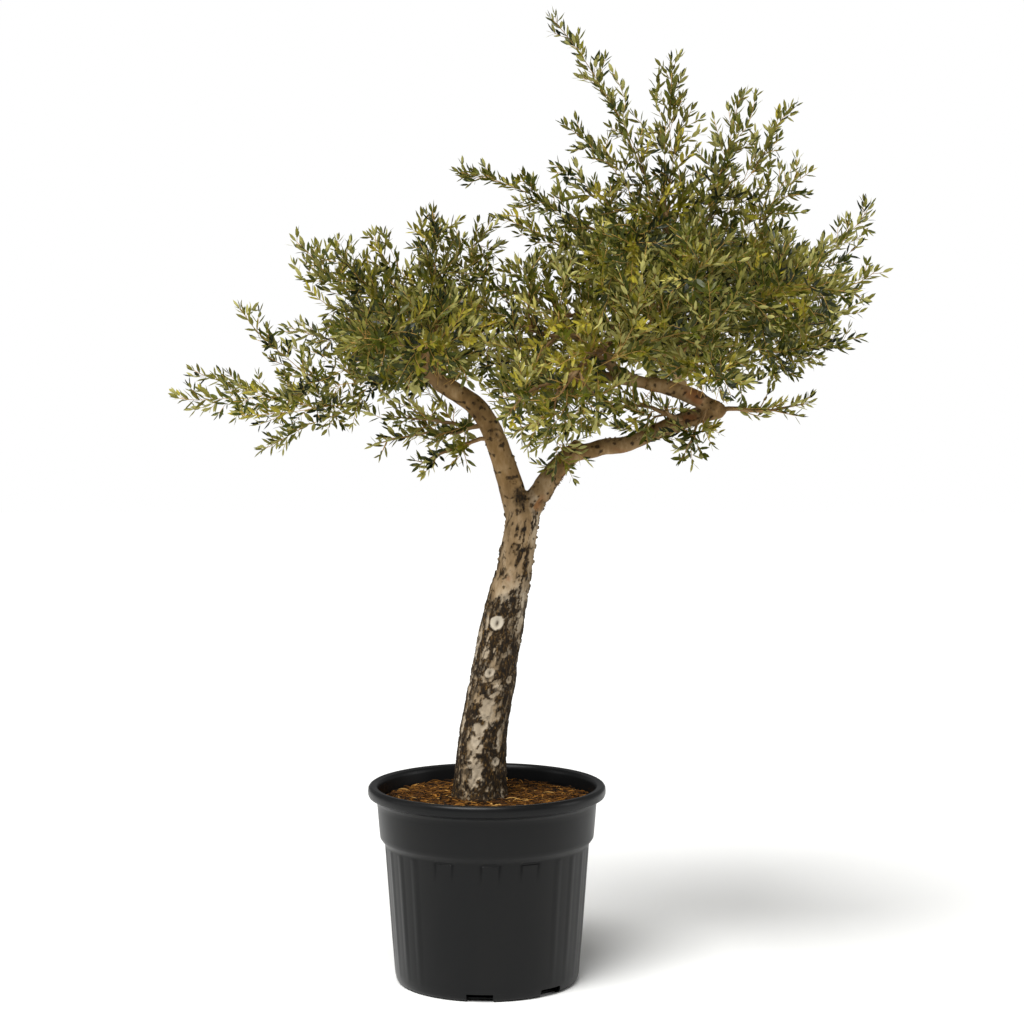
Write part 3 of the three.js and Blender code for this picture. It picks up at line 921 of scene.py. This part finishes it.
def grow_mass(head, mass):
    """A bough from the grown wood through a mass to its tip, and branches off it to its sides."""
    def reach_cost(end):
        return np.min(np.linalg.norm(head.points - end, axis=1))

    root, tip = sorted(mass.ends, key=reach_cost)
    line = middle_line(mass, root, tip)
    heading = unit(line[min(3, len(line) - 1)] - line[0])
    inner = line[1] if np.linalg.norm(line[1] - root) > 1e-4 else root
    start = head.foothold(inner, heading)
    base, base_way = head.points[start], head.ways[start]
    span = np.linalg.norm(tip - base)
    thick = min(0.9 * head.radii[start], 0.0026 + 0.0145 * span + 0.0012 * math.sqrt(mass.litres))
    entry = curve_between(base, base_way + 0.8 * unit(inner - base), inner, 0.35)
    path = np.vstack([entry[:-1], line[1:]])
    path[-1] = path[-1] - unit(path[-1] - path[-2]) * TIP_CLEARANCE
    path, _ = resample(path, np.zeros(len(path)), STEM_STEP)
    sway = 0.004 * math.sin(RNG.uniform(0, 6))
    path = path + np.sin(np.linspace(0, 9, len(path)))[:, None] * sway * perpendicular(heading, UP)
    radii = tapered(thick, 0.0010, len(path))
    head.add_stem(path, radii)
    outside = np.linalg.norm(inner - base) / max(span, 1e-6)
    dress(head, path, radii, bare=min(0.8, 0.6 * outside + 0.04))

    count = int(round(BRANCHING * mass.litres ** 0.75)) if mass.litres > SMALL_LITRES else 0
    for target in spread_targets(mass, count, [path[-1], base]):
        grow_branch(head, path, radii, target, mass.litres > BROAD_LITRES)


def grow_branch(head, path, radii, target, arched):
    """A branch off a bough to a place, from where it can leave at a natural angle.

    An arched one comes out to the head's skin first and then sweeps on along it."""
    gap = target - path
    distance = np.linalg.norm(gap, axis=1)
    ways = tangents_of(path)
    lean = np.arccos(np.clip(np.einsum("ij,ij->i", gap / distance[:, None], ways), -1, 1))
    cost = distance * (1 + 1.1 * np.abs(lean - 0.7))
    cost[int(len(path) * 0.85):] += 1
    k = int(cost.argmin())
    end = path[k] + gap[k] * (1 - TIP_CLEARANCE / max(distance[k], 0.05))
    out = unit(np.array([0.0, gap[k][1], 0.0])) if arched and abs(gap[k][1]) > 0.02 else np.zeros(3)
    leave = unit(ways[k] + 0.8 * unit(gap[k]) + 1.4 * out)
    branch = curve_between(path[k], leave, end, 0.60 if arched else 0.45)
    widths = tapered(min(0.8 * radii[k], 0.0026 + 0.016 * distance[k]), 0.0011, len(branch))
    head.add_stem(branch, widths)
    dress(head, branch, widths, bare=0.12)
    if out.any():
        shown = range(len(branch) // 4, len(branch) * 4 // 5)
        head.shown += [(branch[i], widths[i], out[1]) for i in shown]


def fill_gaps(head, share):
    """Shoots from the nearest stems into the blocks that have too few leaves."""
    space = head.space
    tree = KDTree(len(head.points))
    for k, point in enumerate(head.points):
        tree.insert(point, k)
    tree.balance()
    split = [size for count in space.leaves.shape for size in (count, BLOCK)]
    depth = space.depth.reshape(split).max(axis=(1, 3, 5))
    blocks = np.argwhere(depth > 0).tolist()
    RNG.shuffle(blocks)
    for block in blocks:
        inside = [RNG.uniform(0.2, 0.8) for _ in range(3)]
        place = space.low + (np.array(block) + inside) * BLOCK * CELL
        if space.leaves[tuple(block)] >= share * space.wanted(place) or head.hides_limb(place):
            continue
        best = None
        for _, k, distance in tree.find_n(place, NEAREST_STEMS):
            if distance < GAP_REACH[0]:
                continue
            along = float(np.dot(unit(place - head.points[k]), head.ways[k]))
            lean = math.acos(max(-1.0, min(1.0, along)))
            cost = (distance + 0.03) * (1 + 0.8 * abs(lean - 0.6))
            if best is None or cost < best[0]:
                best = cost, k, distance
        if best is None or best[2] > GAP_REACH[1]:
            continue
        _, k, distance = best
        start, way = head.points[k], head.ways[k]
        onward = unit(place - start)
        beyond = space.room(place, onward, 0.045)
        path = curve_between(start, way + 0.9 * onward, place + onward * beyond, 0.4)
        path[:, 2] += 0.10 * distance * np.linspace(0, 1, len(path)) ** 2
        thick = min(SHOOT_RADIUS, 0.85 * head.radii[k], 0.0012 + 0.006 * distance)
        widths = tapered(thick, 0.0007, len(path))
        head.add_stem(path, widths)
        leaf_pairs(head, path, 0.15)


def clear_sight(head):
    """Takes off the leaves right outside the arched boughs, so that the boughs show between them."""
    middles = np.array([base + way * length / 2 for base, way, _, length, _ in head.leaves])
    kept = np.ones(len(middles), dtype=bool)
    for point, radius, side in head.shown:
        aside = np.hypot(middles[:, 0] - point[0], middles[:, 2] - point[2])
        ahead = (middles[:, 1] - point[1]) * side
        kept &= (aside > radius + SIGHT_MARGIN) | (ahead < -0.004) | (ahead > SIGHT_DEPTH)
    head.leaves = [leaf for leaf, keep in zip(head.leaves, kept) if keep]


def grow_leaders(head, masses, lines):
    """Stout boughs that carry each cut-off limb on into the broad masses nearest its end."""
    broad = [m for m in masses if m.litres > BROAD_LITRES]
    for name in BARE_LIMBS:
        path, radii = lines[name]
        base, way, width = path[-1], unit(path[-1] - path[-2]), radii[-1]
        broad.sort(key=lambda m: np.linalg.norm(m.middle - base))
        for mass in broad[:LEADERS]:
            leader = curve_between(base - way * 0.012, way, mass.middle, 0.4)
            head.add_stem(leader, width * np.linspace(0.92, 0.30, len(leader)))


def grow_head(lines):
    masses = [Mass(name) for name in FOLIAGE_NODES]
    head = Head(lines, Space(masses))
    grow_leaders(head, masses, lines)

    def gap_to(mass):
        """How far a mass is from the grown wood. A big one counts as nearer than it is."""
        gaps = np.linalg.norm(head.points[:, None] - mass.skin[None, ::8], axis=2)
        return np.min(gaps) - 0.004 * mass.litres

    while masses:
        nearest = int(np.argmin([gap_to(mass) for mass in masses]))
        grow_mass(head, masses.pop(nearest))
    for share in GAP_SHARES:
        fill_gaps(head, share)
    clear_sight(head)
    return head


# ---- leaves and stems as meshes ---------------------------------------------------------------

OLIVE_RADIUS = 0.0065
# A leaf's outline on one side of its midrib: share of the length, share of the width.
LEAF_OUTLINE = ((0.32, 0.46), (0.70, 0.42))
# The darkest green (#20270a) is painted shade, standing in for leaves in the crown's shadow, and the
# palest (#b4ac5a) is a painted highlight for lit leaves; the other greens vary at random.
LEAF_GREENS = ("#394009", "#53570f", "#736e17", "#a0952f", "#20270a", "#b4ac5a")
LEAF_BACKS = ("#7c7832", "#aba660")
GREEN_LIMITS = (0.3, 0.62, 0.8, 0.88)           # where each green gives way to the next
PALE_X, PALE_Z = (0.17, 0.22), (1.62, 0.16)     # middle and spread of the palest leaves
LEFT_EDGE, RIGHT_EDGE = -0.02, 0.22             # of the middle part of the head
HEART_HALF = 0.09                               # half the depth of the right part's heart


def region_at(place):
    """The part of the head that a place is in. Each part's leaves are one piece."""
    x, y, _ = place
    if x < LEFT_EDGE:
        return "left"
    if x < RIGHT_EDGE:
        return "middle"
    if y < -HEART_HALF:
        return "right_front"
    return "right_back" if y > HEART_HALF else "right_heart"


def leaf_mesh(head, group):
    """All the leaves of one region as one mesh, each a folded blade with a green and a pale side."""
    rows = [leaf for leaf in head.leaves if region_at(leaf[0]) == group]
    base, way, normal = (np.array([r[k] for r in rows]) for k in range(3))
    length = np.array([r[3] for r in rows])
    spray = np.array([r[4] for r in rows])
    side = np.cross(normal, way)
    draw = np.random.default_rng(len(rows))
    width = length * LEAF_WIDTH * draw.uniform(0.85, 1.2, len(rows))
    droop = length * draw.uniform(-0.16, 0.20, len(rows))

    def spot(forward, across, lift):
        return (base + way * (length * forward)[:, None] + side * (width * across)[:, None]
                + normal * lift[:, None])

    (near, near_half), (far, far_half) = LEAF_OUTLINE
    edge = -0.25 * droop
    fold = -0.13 * width
    points = np.stack([
        spot(0.0, 0, 0 * droop), spot(near, near_half, edge), spot(far, far_half, 2 * edge),
        spot(1.0, 0, -droop), spot(far, -far_half, 2 * edge), spot(near, -near_half, edge),
        spot(0.48, 0, fold), spot(0.48, 0, fold - LEAF_MIDRIB)], axis=1).reshape(-1, 3)
    upper = [(6, 0, 5), (6, 5, 4), (6, 4, 3), (6, 3, 2), (6, 2, 1), (6, 1, 0)]
    lower = [(7, b, a) for _, a, b in upper]
    one = np.array(upper + lower)
    faces = (one[None] + 8 * np.arange(len(rows))[:, None, None]).reshape(-1, 3)

    greens = np.array([green_of(place, k) for k, place in enumerate(head.sprays)])
    top = greens[spray]
    below = len(LEAF_GREENS) + (spray % len(LEAF_BACKS))
    index = np.concatenate([np.repeat(top[:, None], 6, 1), np.repeat(below[:, None], 6, 1)], axis=1)
    return mesh_from_arrays(f"leaves_{group}", points, faces, index.ravel(), smooth=False)


def green_of(place, k):
    """The green of a spray. Those low in the front of the head's middle are the palest."""
    pick = (k * 0.6180339887) % 1
    x, y, z = place
    paleness = math.exp(-((x - PALE_X[0]) / PALE_X[1]) ** 2 - ((z - PALE_Z[0]) / PALE_Z[1]) ** 2)
    paleness *= 1.0 if y < 0 else 0.2
    # Painted highlight: sprays low in the front of the middle get the palest green most often.
    if pick < 0.55 * paleness:
        return 5 if pick < 0.25 * paleness else 3
    shade = (pick + 0.35 * noise.noise(Vector(place) * 6)) % 1
    return sum(shade >= limit for limit in GREEN_LIMITS)


def stem_sides(radius):
    return 8 if radius > 0.006 else 5 if radius > 0.0025 else 3


def stem_meshes(head, group, thick):
    parts = []
    for path, radii in head.stems:
        if region_at(path[0]) == group and (radii[0] > THICK_STEM) == thick:
            parts.append(tube(path, radii, stem_sides(radii[0])))
    return joined(parts) if parts else None


def build_olive(head):
    """The one olive that hangs from the tip of a shoot under the elbow of the right limb."""
    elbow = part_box("right_limb_reach")[1]
    under = np.array([elbow.x - 0.05, -0.06, elbow.z - 0.10])
    tip = min((path[-1] for path, radii in head.stems if radii[0] < THICK_STEM),
              key=lambda end: float(np.linalg.norm(end - under)))
    shell = bmesh.new()
    place = Matrix.Translation(tip - UP * OLIVE_RADIUS) @ Matrix.Diagonal((1, 1, 1.3, 1))
    bmesh.ops.create_icosphere(shell, subdivisions=3, radius=OLIVE_RADIUS, matrix=place)
    mesh = mesh_of(shell, "olive")
    shade_smooth(mesh)
    olive = add_object("olive", mesh, [plain("olive", "#6e6a24", 0.3, 0.5)])
    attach(olive, "root")


def build_head(lines):
    head = grow_head(lines)
    build_olive(head)
    greens = [plain(f"leaf_green_{k}", c, 0.42, 0.28) for k, c in enumerate(LEAF_GREENS)]
    backs = [plain(f"leaf_back_{k}", c, 0.65, 0.25) for k, c in enumerate(LEAF_BACKS)]
    twig = plain("twig", "#bd9450", 0.75, 0.25)
    bough = twig_bark("bough_bark", "#634a2a", "#8c6e48", "#b0946c")
    groups = sorted({region_at(leaf[0]) for leaf in head.leaves})
    members = {g: [m for m in FOLIAGE_NODES if region_at(Mass(m).middle) == g] for g in groups}
    for group in groups:
        leaves = add_object(f"leaves_{group}", leaf_mesh(head, group), greens + backs)
        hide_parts(*members[group])
        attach(leaves, "root")
        for name, thick, material in (("twigs", False, twig), ("boughs", True, bough)):
            made = stem_meshes(head, group, thick)
            if made is None:
                continue
            title = f"{name}_{group}"
            piece = add_object(title, mesh_from_arrays(title, *made), [material])
            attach(piece, "root")


# ---- pot and mulch ----------------------------------------------------------------------------

POT_SEGMENTS = 288
RIB_ANGLES = [44, 56, 68, 80, 92, 104, 116, 128, 140]     # degrees from the front, on both sides
RIB_HALF_WIDTH = 2.1                                      # degrees
RIB_HEIGHT = 0.0014
RIB_SPAN = (0.030, 0.349)
SLOT_ANGLES = (-24, 2, 25)
SLOT_HALF_WIDTH = 5.6                                     # degrees
SLOT_DEPTH = 0.0020
SLOT_SPAN = (0.344, 0.350)
NOTCH_ANGLES = (-94, -4, 44, 136, 196)
NOTCH_HALF_WIDTH = 8.3                                    # degrees
NOTCH_HEIGHT = 0.020
NOTCH_RADIUS = 0.225                                      # to the middle of a notch's cutter
NOTCH_THROUGH = 0.040                                     # its depth, more than the wall's
NOTCH_BELOW = 0.02                                        # how far it reaches past the underside
FOOT_RADIUS = 0.229                                       # of the wall where the notches are


def pot_outline():
    """The pot's profile from the middle of its underside, up the outside and down the inside."""
    outside = [
        (0.0, 0.0), (0.150, 0.0), (0.216, 0.0), (0.2225, 0.0008), (0.2275, 0.0040), (0.2305, 0.0095),
        (0.2318, 0.0160), (0.2330, 0.0200), (0.2345, 0.0340), (0.2400, 0.1100), (0.2465, 0.2000),
        (0.2530, 0.2900), (0.2570, 0.3430), (0.2572, 0.3450), (0.2575, 0.3490), (0.2578, 0.3510),
        (0.2600, 0.3555), (0.2655, 0.3620), (0.2695, 0.3680),
        (0.2706, 0.3760), (0.2735, 0.4100), (0.2762, 0.4440), (0.2772, 0.4560), (0.2830, 0.4650),
        (0.2925, 0.4700), (0.2975, 0.4730), (0.2996, 0.4780), (0.3000, 0.4860), (0.2992, 0.4930),
        (0.2965, 0.4975), (0.2925, 0.5000), (0.2850, 0.4998), (0.2785, 0.4975), (0.2752, 0.4930),
    ]
    inside = [
        (0.2738, 0.4860), (0.2724, 0.4560), (0.2661, 0.3740), (0.2535, 0.3520), (0.2265, 0.0140),
        (0.2215, 0.0060), (0.0, 0.0060),
    ]
    return outside, inside


def slot_dip(degrees, height):
    """How deep the short level slots under the collar go into the wall."""
    if not SLOT_SPAN[0] < height < SLOT_SPAN[1]:
        return 0.0
    return SLOT_DEPTH if min(abs(degrees - slot) for slot in SLOT_ANGLES) < SLOT_HALF_WIDTH else 0.0


def rib_rise(degrees, height):
    """How far the flutes stand out of the body's wall."""
    low, high = RIB_SPAN
    if not low < height < high:
        return 0.0
    fade = min(1.0, (height - low) / 0.02, (high - height) / 0.006)
    off = min(abs(abs(degrees) - rib) for rib in RIB_ANGLES)
    return RIB_HEIGHT * fade * min(1.0, max(0.0, (RIB_HALF_WIDTH - off) / 0.7))


def build_pot():
    outside, inside = pot_outline()
    profile = outside + inside
    shell = bmesh.new()
    rows = []
    for k, (radius, height) in enumerate(profile):
        row = []
        for s in range(POT_SEGMENTS if radius > 0 else 1):
            degrees = (s * 360 / POT_SEGMENTS + 180) % 360 - 180
            wide = radius
            if k < len(outside):
                wide += rib_rise(degrees, height) - slot_dip(degrees, height)
            turn = math.radians(degrees)
            row.append(shell.verts.new((wide * math.sin(turn), -wide * math.cos(turn), height)))
        rows.append(row)
    for low, high in zip(rows, rows[1:]):
        for s in range(POT_SEGMENTS):
            nxt = (s + 1) % POT_SEGMENTS
            ring = [low[s % len(low)], low[nxt % len(low)], high[nxt % len(high)], high[s % len(high)]]
            corners = list(dict.fromkeys(ring))
            if len(corners) > 2:
                shell.faces.new(corners)
    bmesh.ops.recalc_face_normals(shell, faces=shell.faces)
    pot = add_object("pot_body", mesh_of(shell, "pot_shell"), [pot_plastic()])
    cut_notches(pot)
    shade_smooth(pot.data)
    pot.data.set_sharp_from_angle(angle=math.radians(32))
    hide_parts("pot")
    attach(pot, "root")


def box_mesh(shell, size, place, turn):
    """Adds a box to a bmesh, turned about the vertical."""
    corners = []
    for x, y, z in itertools.product((-1, 1), repeat=3):
        across, deep = x * size[0] / 2, y * size[1] / 2
        corners.append(shell.verts.new((
            place[0] + across * math.cos(turn) - deep * math.sin(turn),
            place[1] + across * math.sin(turn) + deep * math.cos(turn),
            place[2] + z * size[2] / 2)))
    for face in ((0, 1, 3, 2), (4, 6, 7, 5), (0, 4, 5, 1), (2, 3, 7, 6), (0, 2, 6, 4), (1, 5, 7, 3)):
        shell.faces.new([corners[k] for k in face])


def cut_notches(pot):
    """Cuts the drain notches through the foot of the wall."""
    shell = bmesh.new()
    width = 2 * FOOT_RADIUS * math.sin(math.radians(NOTCH_HALF_WIDTH))
    for degrees in NOTCH_ANGLES:
        turn = math.radians(degrees)
        middle = (NOTCH_RADIUS * math.sin(turn), -NOTCH_RADIUS * math.cos(turn),
                  NOTCH_HEIGHT / 2 - NOTCH_BELOW / 2)
        box_mesh(shell, (width, NOTCH_THROUGH, NOTCH_HEIGHT + NOTCH_BELOW), middle, turn)
    bmesh.ops.recalc_face_normals(shell, faces=shell.faces)
    cutter = add_object("notch_cutters", mesh_of(shell, "notch_cutters"))
    cut = pot.modifiers.new("notches", "BOOLEAN")
    cut.operation = "DIFFERENCE"
    cut.solver = "EXACT"
    cut.object = cutter
    apply_modifiers(pot)
    bpy.data.objects.remove(cutter)


MULCH_COLOURS = ("#4a2c0a", "#684212", "#2e1b06", "#8e5f22", "#160c03", "#ba904f")
MULCH_SHARES = (0.30, 0.24, 0.20, 0.10, 0.13, 0.03)
MULCH_COUNT = 5200
MULCH_RINGS, MULCH_SIDES = 26, 96
MULCH_WALL = 0.2706         # radius of the bed
MULCH_DEPTH = 0.05          # of the bed, below the packed soil's top
FIBRE_ROOTS = 0.262         # fibres start inside this radius, and
FIBRE_LIMIT = 0.268         # stay inside this one
CHIP_SHARE = 0.16           # of the fibres that are bark chips
TRUNK_FOOT_X = -0.018
TRUNK_CLEAR = 0.066         # fibres start this far from the trunk's middle, and
TRUNK_LIMIT = 0.060         # stay this far from it


def mulch_level(x, y):
    """Height of the mulch, a shallow heap that is uneven and lowest at the wall."""
    r = math.hypot(x, y)
    dome = 0.4685 - 0.0115 * (r / 0.27) ** 1.5
    heaps = 0.0038 * noise.noise(Vector((x, y, 0.3)) * 14)
    crumbs = 0.0018 * noise.noise(Vector((x, y, 2)) * 45)
    return dome + heaps + crumbs


def round_spot(radius, turn):
    return radius * math.cos(turn), radius * math.sin(turn)


def build_mulch():
    """The bed of mulch as a closed disc with an uneven top."""
    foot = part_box("soil")[1].z - MULCH_DEPTH
    rings, sides = MULCH_RINGS, MULCH_SIDES
    turns = [math.tau * s / sides for s in range(sides)]
    points = [(0, 0, mulch_level(0, 0))]
    for ring in range(1, rings + 1):
        for turn in turns:
            x, y = round_spot(MULCH_WALL * ring / rings, turn)
            points.append((x, y, mulch_level(x, y)))
    base = len(points)
    points += [(*round_spot(MULCH_WALL, turn), foot) for turn in turns]
    points.append((0, 0, foot))
    faces = []
    for s in range(sides):
        nxt = (s + 1) % sides
        faces.append((0, 1 + s, 1 + nxt))
        for ring in range(rings - 1):
            a = 1 + ring * sides
            faces += [(a + s, a + sides + s, a + sides + nxt), (a + s, a + sides + nxt, a + nxt)]
        rim = 1 + (rings - 1) * sides
        faces += [(rim + s, base + s, base + nxt), (rim + s, base + nxt, rim + nxt)]
        faces.append((base + sides, base + nxt, base + s))
    bed = add_object("mulch_bed", mesh_from_arrays("mulch_bed", np.array(points), np.array(faces)),
                     [mulch_bed()])
    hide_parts("soil")
    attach(bed, "root")
    build_fibres()


def build_fibres():
    """Curled coir fibres and thicker bark chips strewn on the mulch, each a thin closed tube."""
    rng = random.Random(88)
    parts, index = [], []
    for _ in range(MULCH_COUNT):
        r, turn = FIBRE_ROOTS * math.sqrt(rng.random()), rng.uniform(0, math.tau)
        x, y = round_spot(r, turn)
        if math.hypot(x - TRUNK_FOOT_X, y) < TRUNK_CLEAR:
            continue
        chip = rng.random() < CHIP_SHARE
        length = rng.uniform(0.010, 0.022) if chip else rng.uniform(0.016, 0.042)
        heading, pitch = rng.uniform(0, math.tau), rng.uniform(-0.25, 0.45)
        curl = rng.uniform(-2.4, 2.4)
        steps = 3 if chip else 5
        place = np.array([x, y, mulch_level(x, y) + rng.uniform(-0.001, 0.0045)])
        path = [place]
        for step in range(steps - 1):
            share = step / (steps - 1)
            bearing = heading + curl * share
            rise = pitch * (1 - 2.0 * share)
            path.append(path[-1] + length / (steps - 1) * np.array([
                math.cos(bearing) * math.cos(rise), math.sin(bearing) * math.cos(rise), math.sin(rise)]))
        path = np.array(path)
        if np.max(np.hypot(path[:, 0], path[:, 1])) > FIBRE_LIMIT:
            continue
        if np.min(np.hypot(path[:, 0] - TRUNK_FOOT_X, path[:, 1])) < TRUNK_LIMIT:
            continue
        width = rng.uniform(0.0020, 0.0042) if chip else rng.uniform(0.0006, 0.0013)
        radii = np.full(len(path), width)
        radii[0] *= 0.5
        radii[-1] *= 0.4
        parts.append(tube(path, radii, 4 if chip else 3))
        colour = rng.choices(range(len(MULCH_COLOURS)), MULCH_SHARES)[0]
        index += [colour] * len(parts[-1][1])
    points, faces = joined(parts)
    materials = [plain(f"mulch_{k}", c, 0.85, 0.2) for k, c in enumerate(MULCH_COLOURS)]
    mesh = mesh_from_arrays("mulch_fibres", points, faces, np.array(index), smooth=False)
    fibres = add_object("mulch_fibres", mesh, materials)
    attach(fibres, "root")


# ---- stage ------------------------------------------------------------------------------------

CAMERA_PLACE = (0.0633, -6.377, 1.724)
CAMERA_DIP = 4.8            # degrees below level
LENS = 89.9
FLOOR_HALF = 14.0
AMBIENT = 0.25              # light from all round, as a share of the white backdrop
SUN = (-0.33, -0.66, 1.20, 4.1, 36)     # where it shines from, its strength, its width in degrees
# Soft lamps: name, place, what it points at, diameter, watts.
LAMPS = (
    ("left_strip", (-3.6, -0.4, 1.6), (0.0, 0, 0.9), 1.6, 8),
    ("right_strip", (3.8, -0.2, 1.6), (0.0, 0, 0.9), 1.6, 22),
)


def add_light(name, kind, power, way, place=(0, 0, 0), **values):
    """A light that shines along a direction."""
    light = bpy.data.lights.new(name, kind)
    light.energy = power
    for key, value in values.items():
        setattr(light, key, value)
    lamp = add_object(name, light)
    lamp.location = place
    lamp.rotation_mode = "QUATERNION"
    lamp.rotation_quaternion = way.to_track_quat("-Z", "Y")


def build_stage():
    floor_mesh = bpy.data.meshes.new("floor")
    corners = [(x * FLOOR_HALF, y * FLOOR_HALF, 0) for x, y in ((-1, -1), (1, -1), (1, 1), (-1, 1))]
    floor_mesh.from_pydata(corners, [], [(0, 1, 2, 3)])
    floor = add_object("floor", floor_mesh, [plain("floor_paint", "#f4f4f2", 0.9, 0.1)])
    world = bpy.data.worlds.new("studio")
    bpy.context.scene.world = world
    world.use_nodes = True
    tree = world.node_tree
    seen = tree.nodes.new("ShaderNodeLightPath")
    strength = tree.nodes.new("ShaderNodeMapRange")
    strength.inputs["To Min"].default_value = AMBIENT
    tree.links.new(seen.outputs["Is Camera Ray"], strength.inputs["Value"])
    tree.links.new(strength.outputs["Result"], tree.nodes["Background"].inputs["Strength"])
    tree.nodes["Background"].inputs["Color"].default_value = (1, 1, 1, 1)
    for name, place, target, size, power in LAMPS:
        way = Vector(target) - Vector(place)
        add_light(name, "AREA", power, way, place, shape="DISK", size=size)
    *place, power, width = SUN
    add_light("sun", "SUN", power, -Vector(place), angle=math.radians(width))
    camera_data = bpy.data.cameras.new("camera")
    camera_data.sensor_width = 36
    camera_data.lens = LENS
    camera = add_object("camera", camera_data)
    camera.location = CAMERA_PLACE
    camera.rotation_euler = (math.radians(90 - CAMERA_DIP), 0, 0)
    bpy.context.scene.camera = camera
    bpy.context.scene.view_settings.view_transform = "Standard"


build_pot()
build_mulch()
build_head(build_wood())
build_stage()
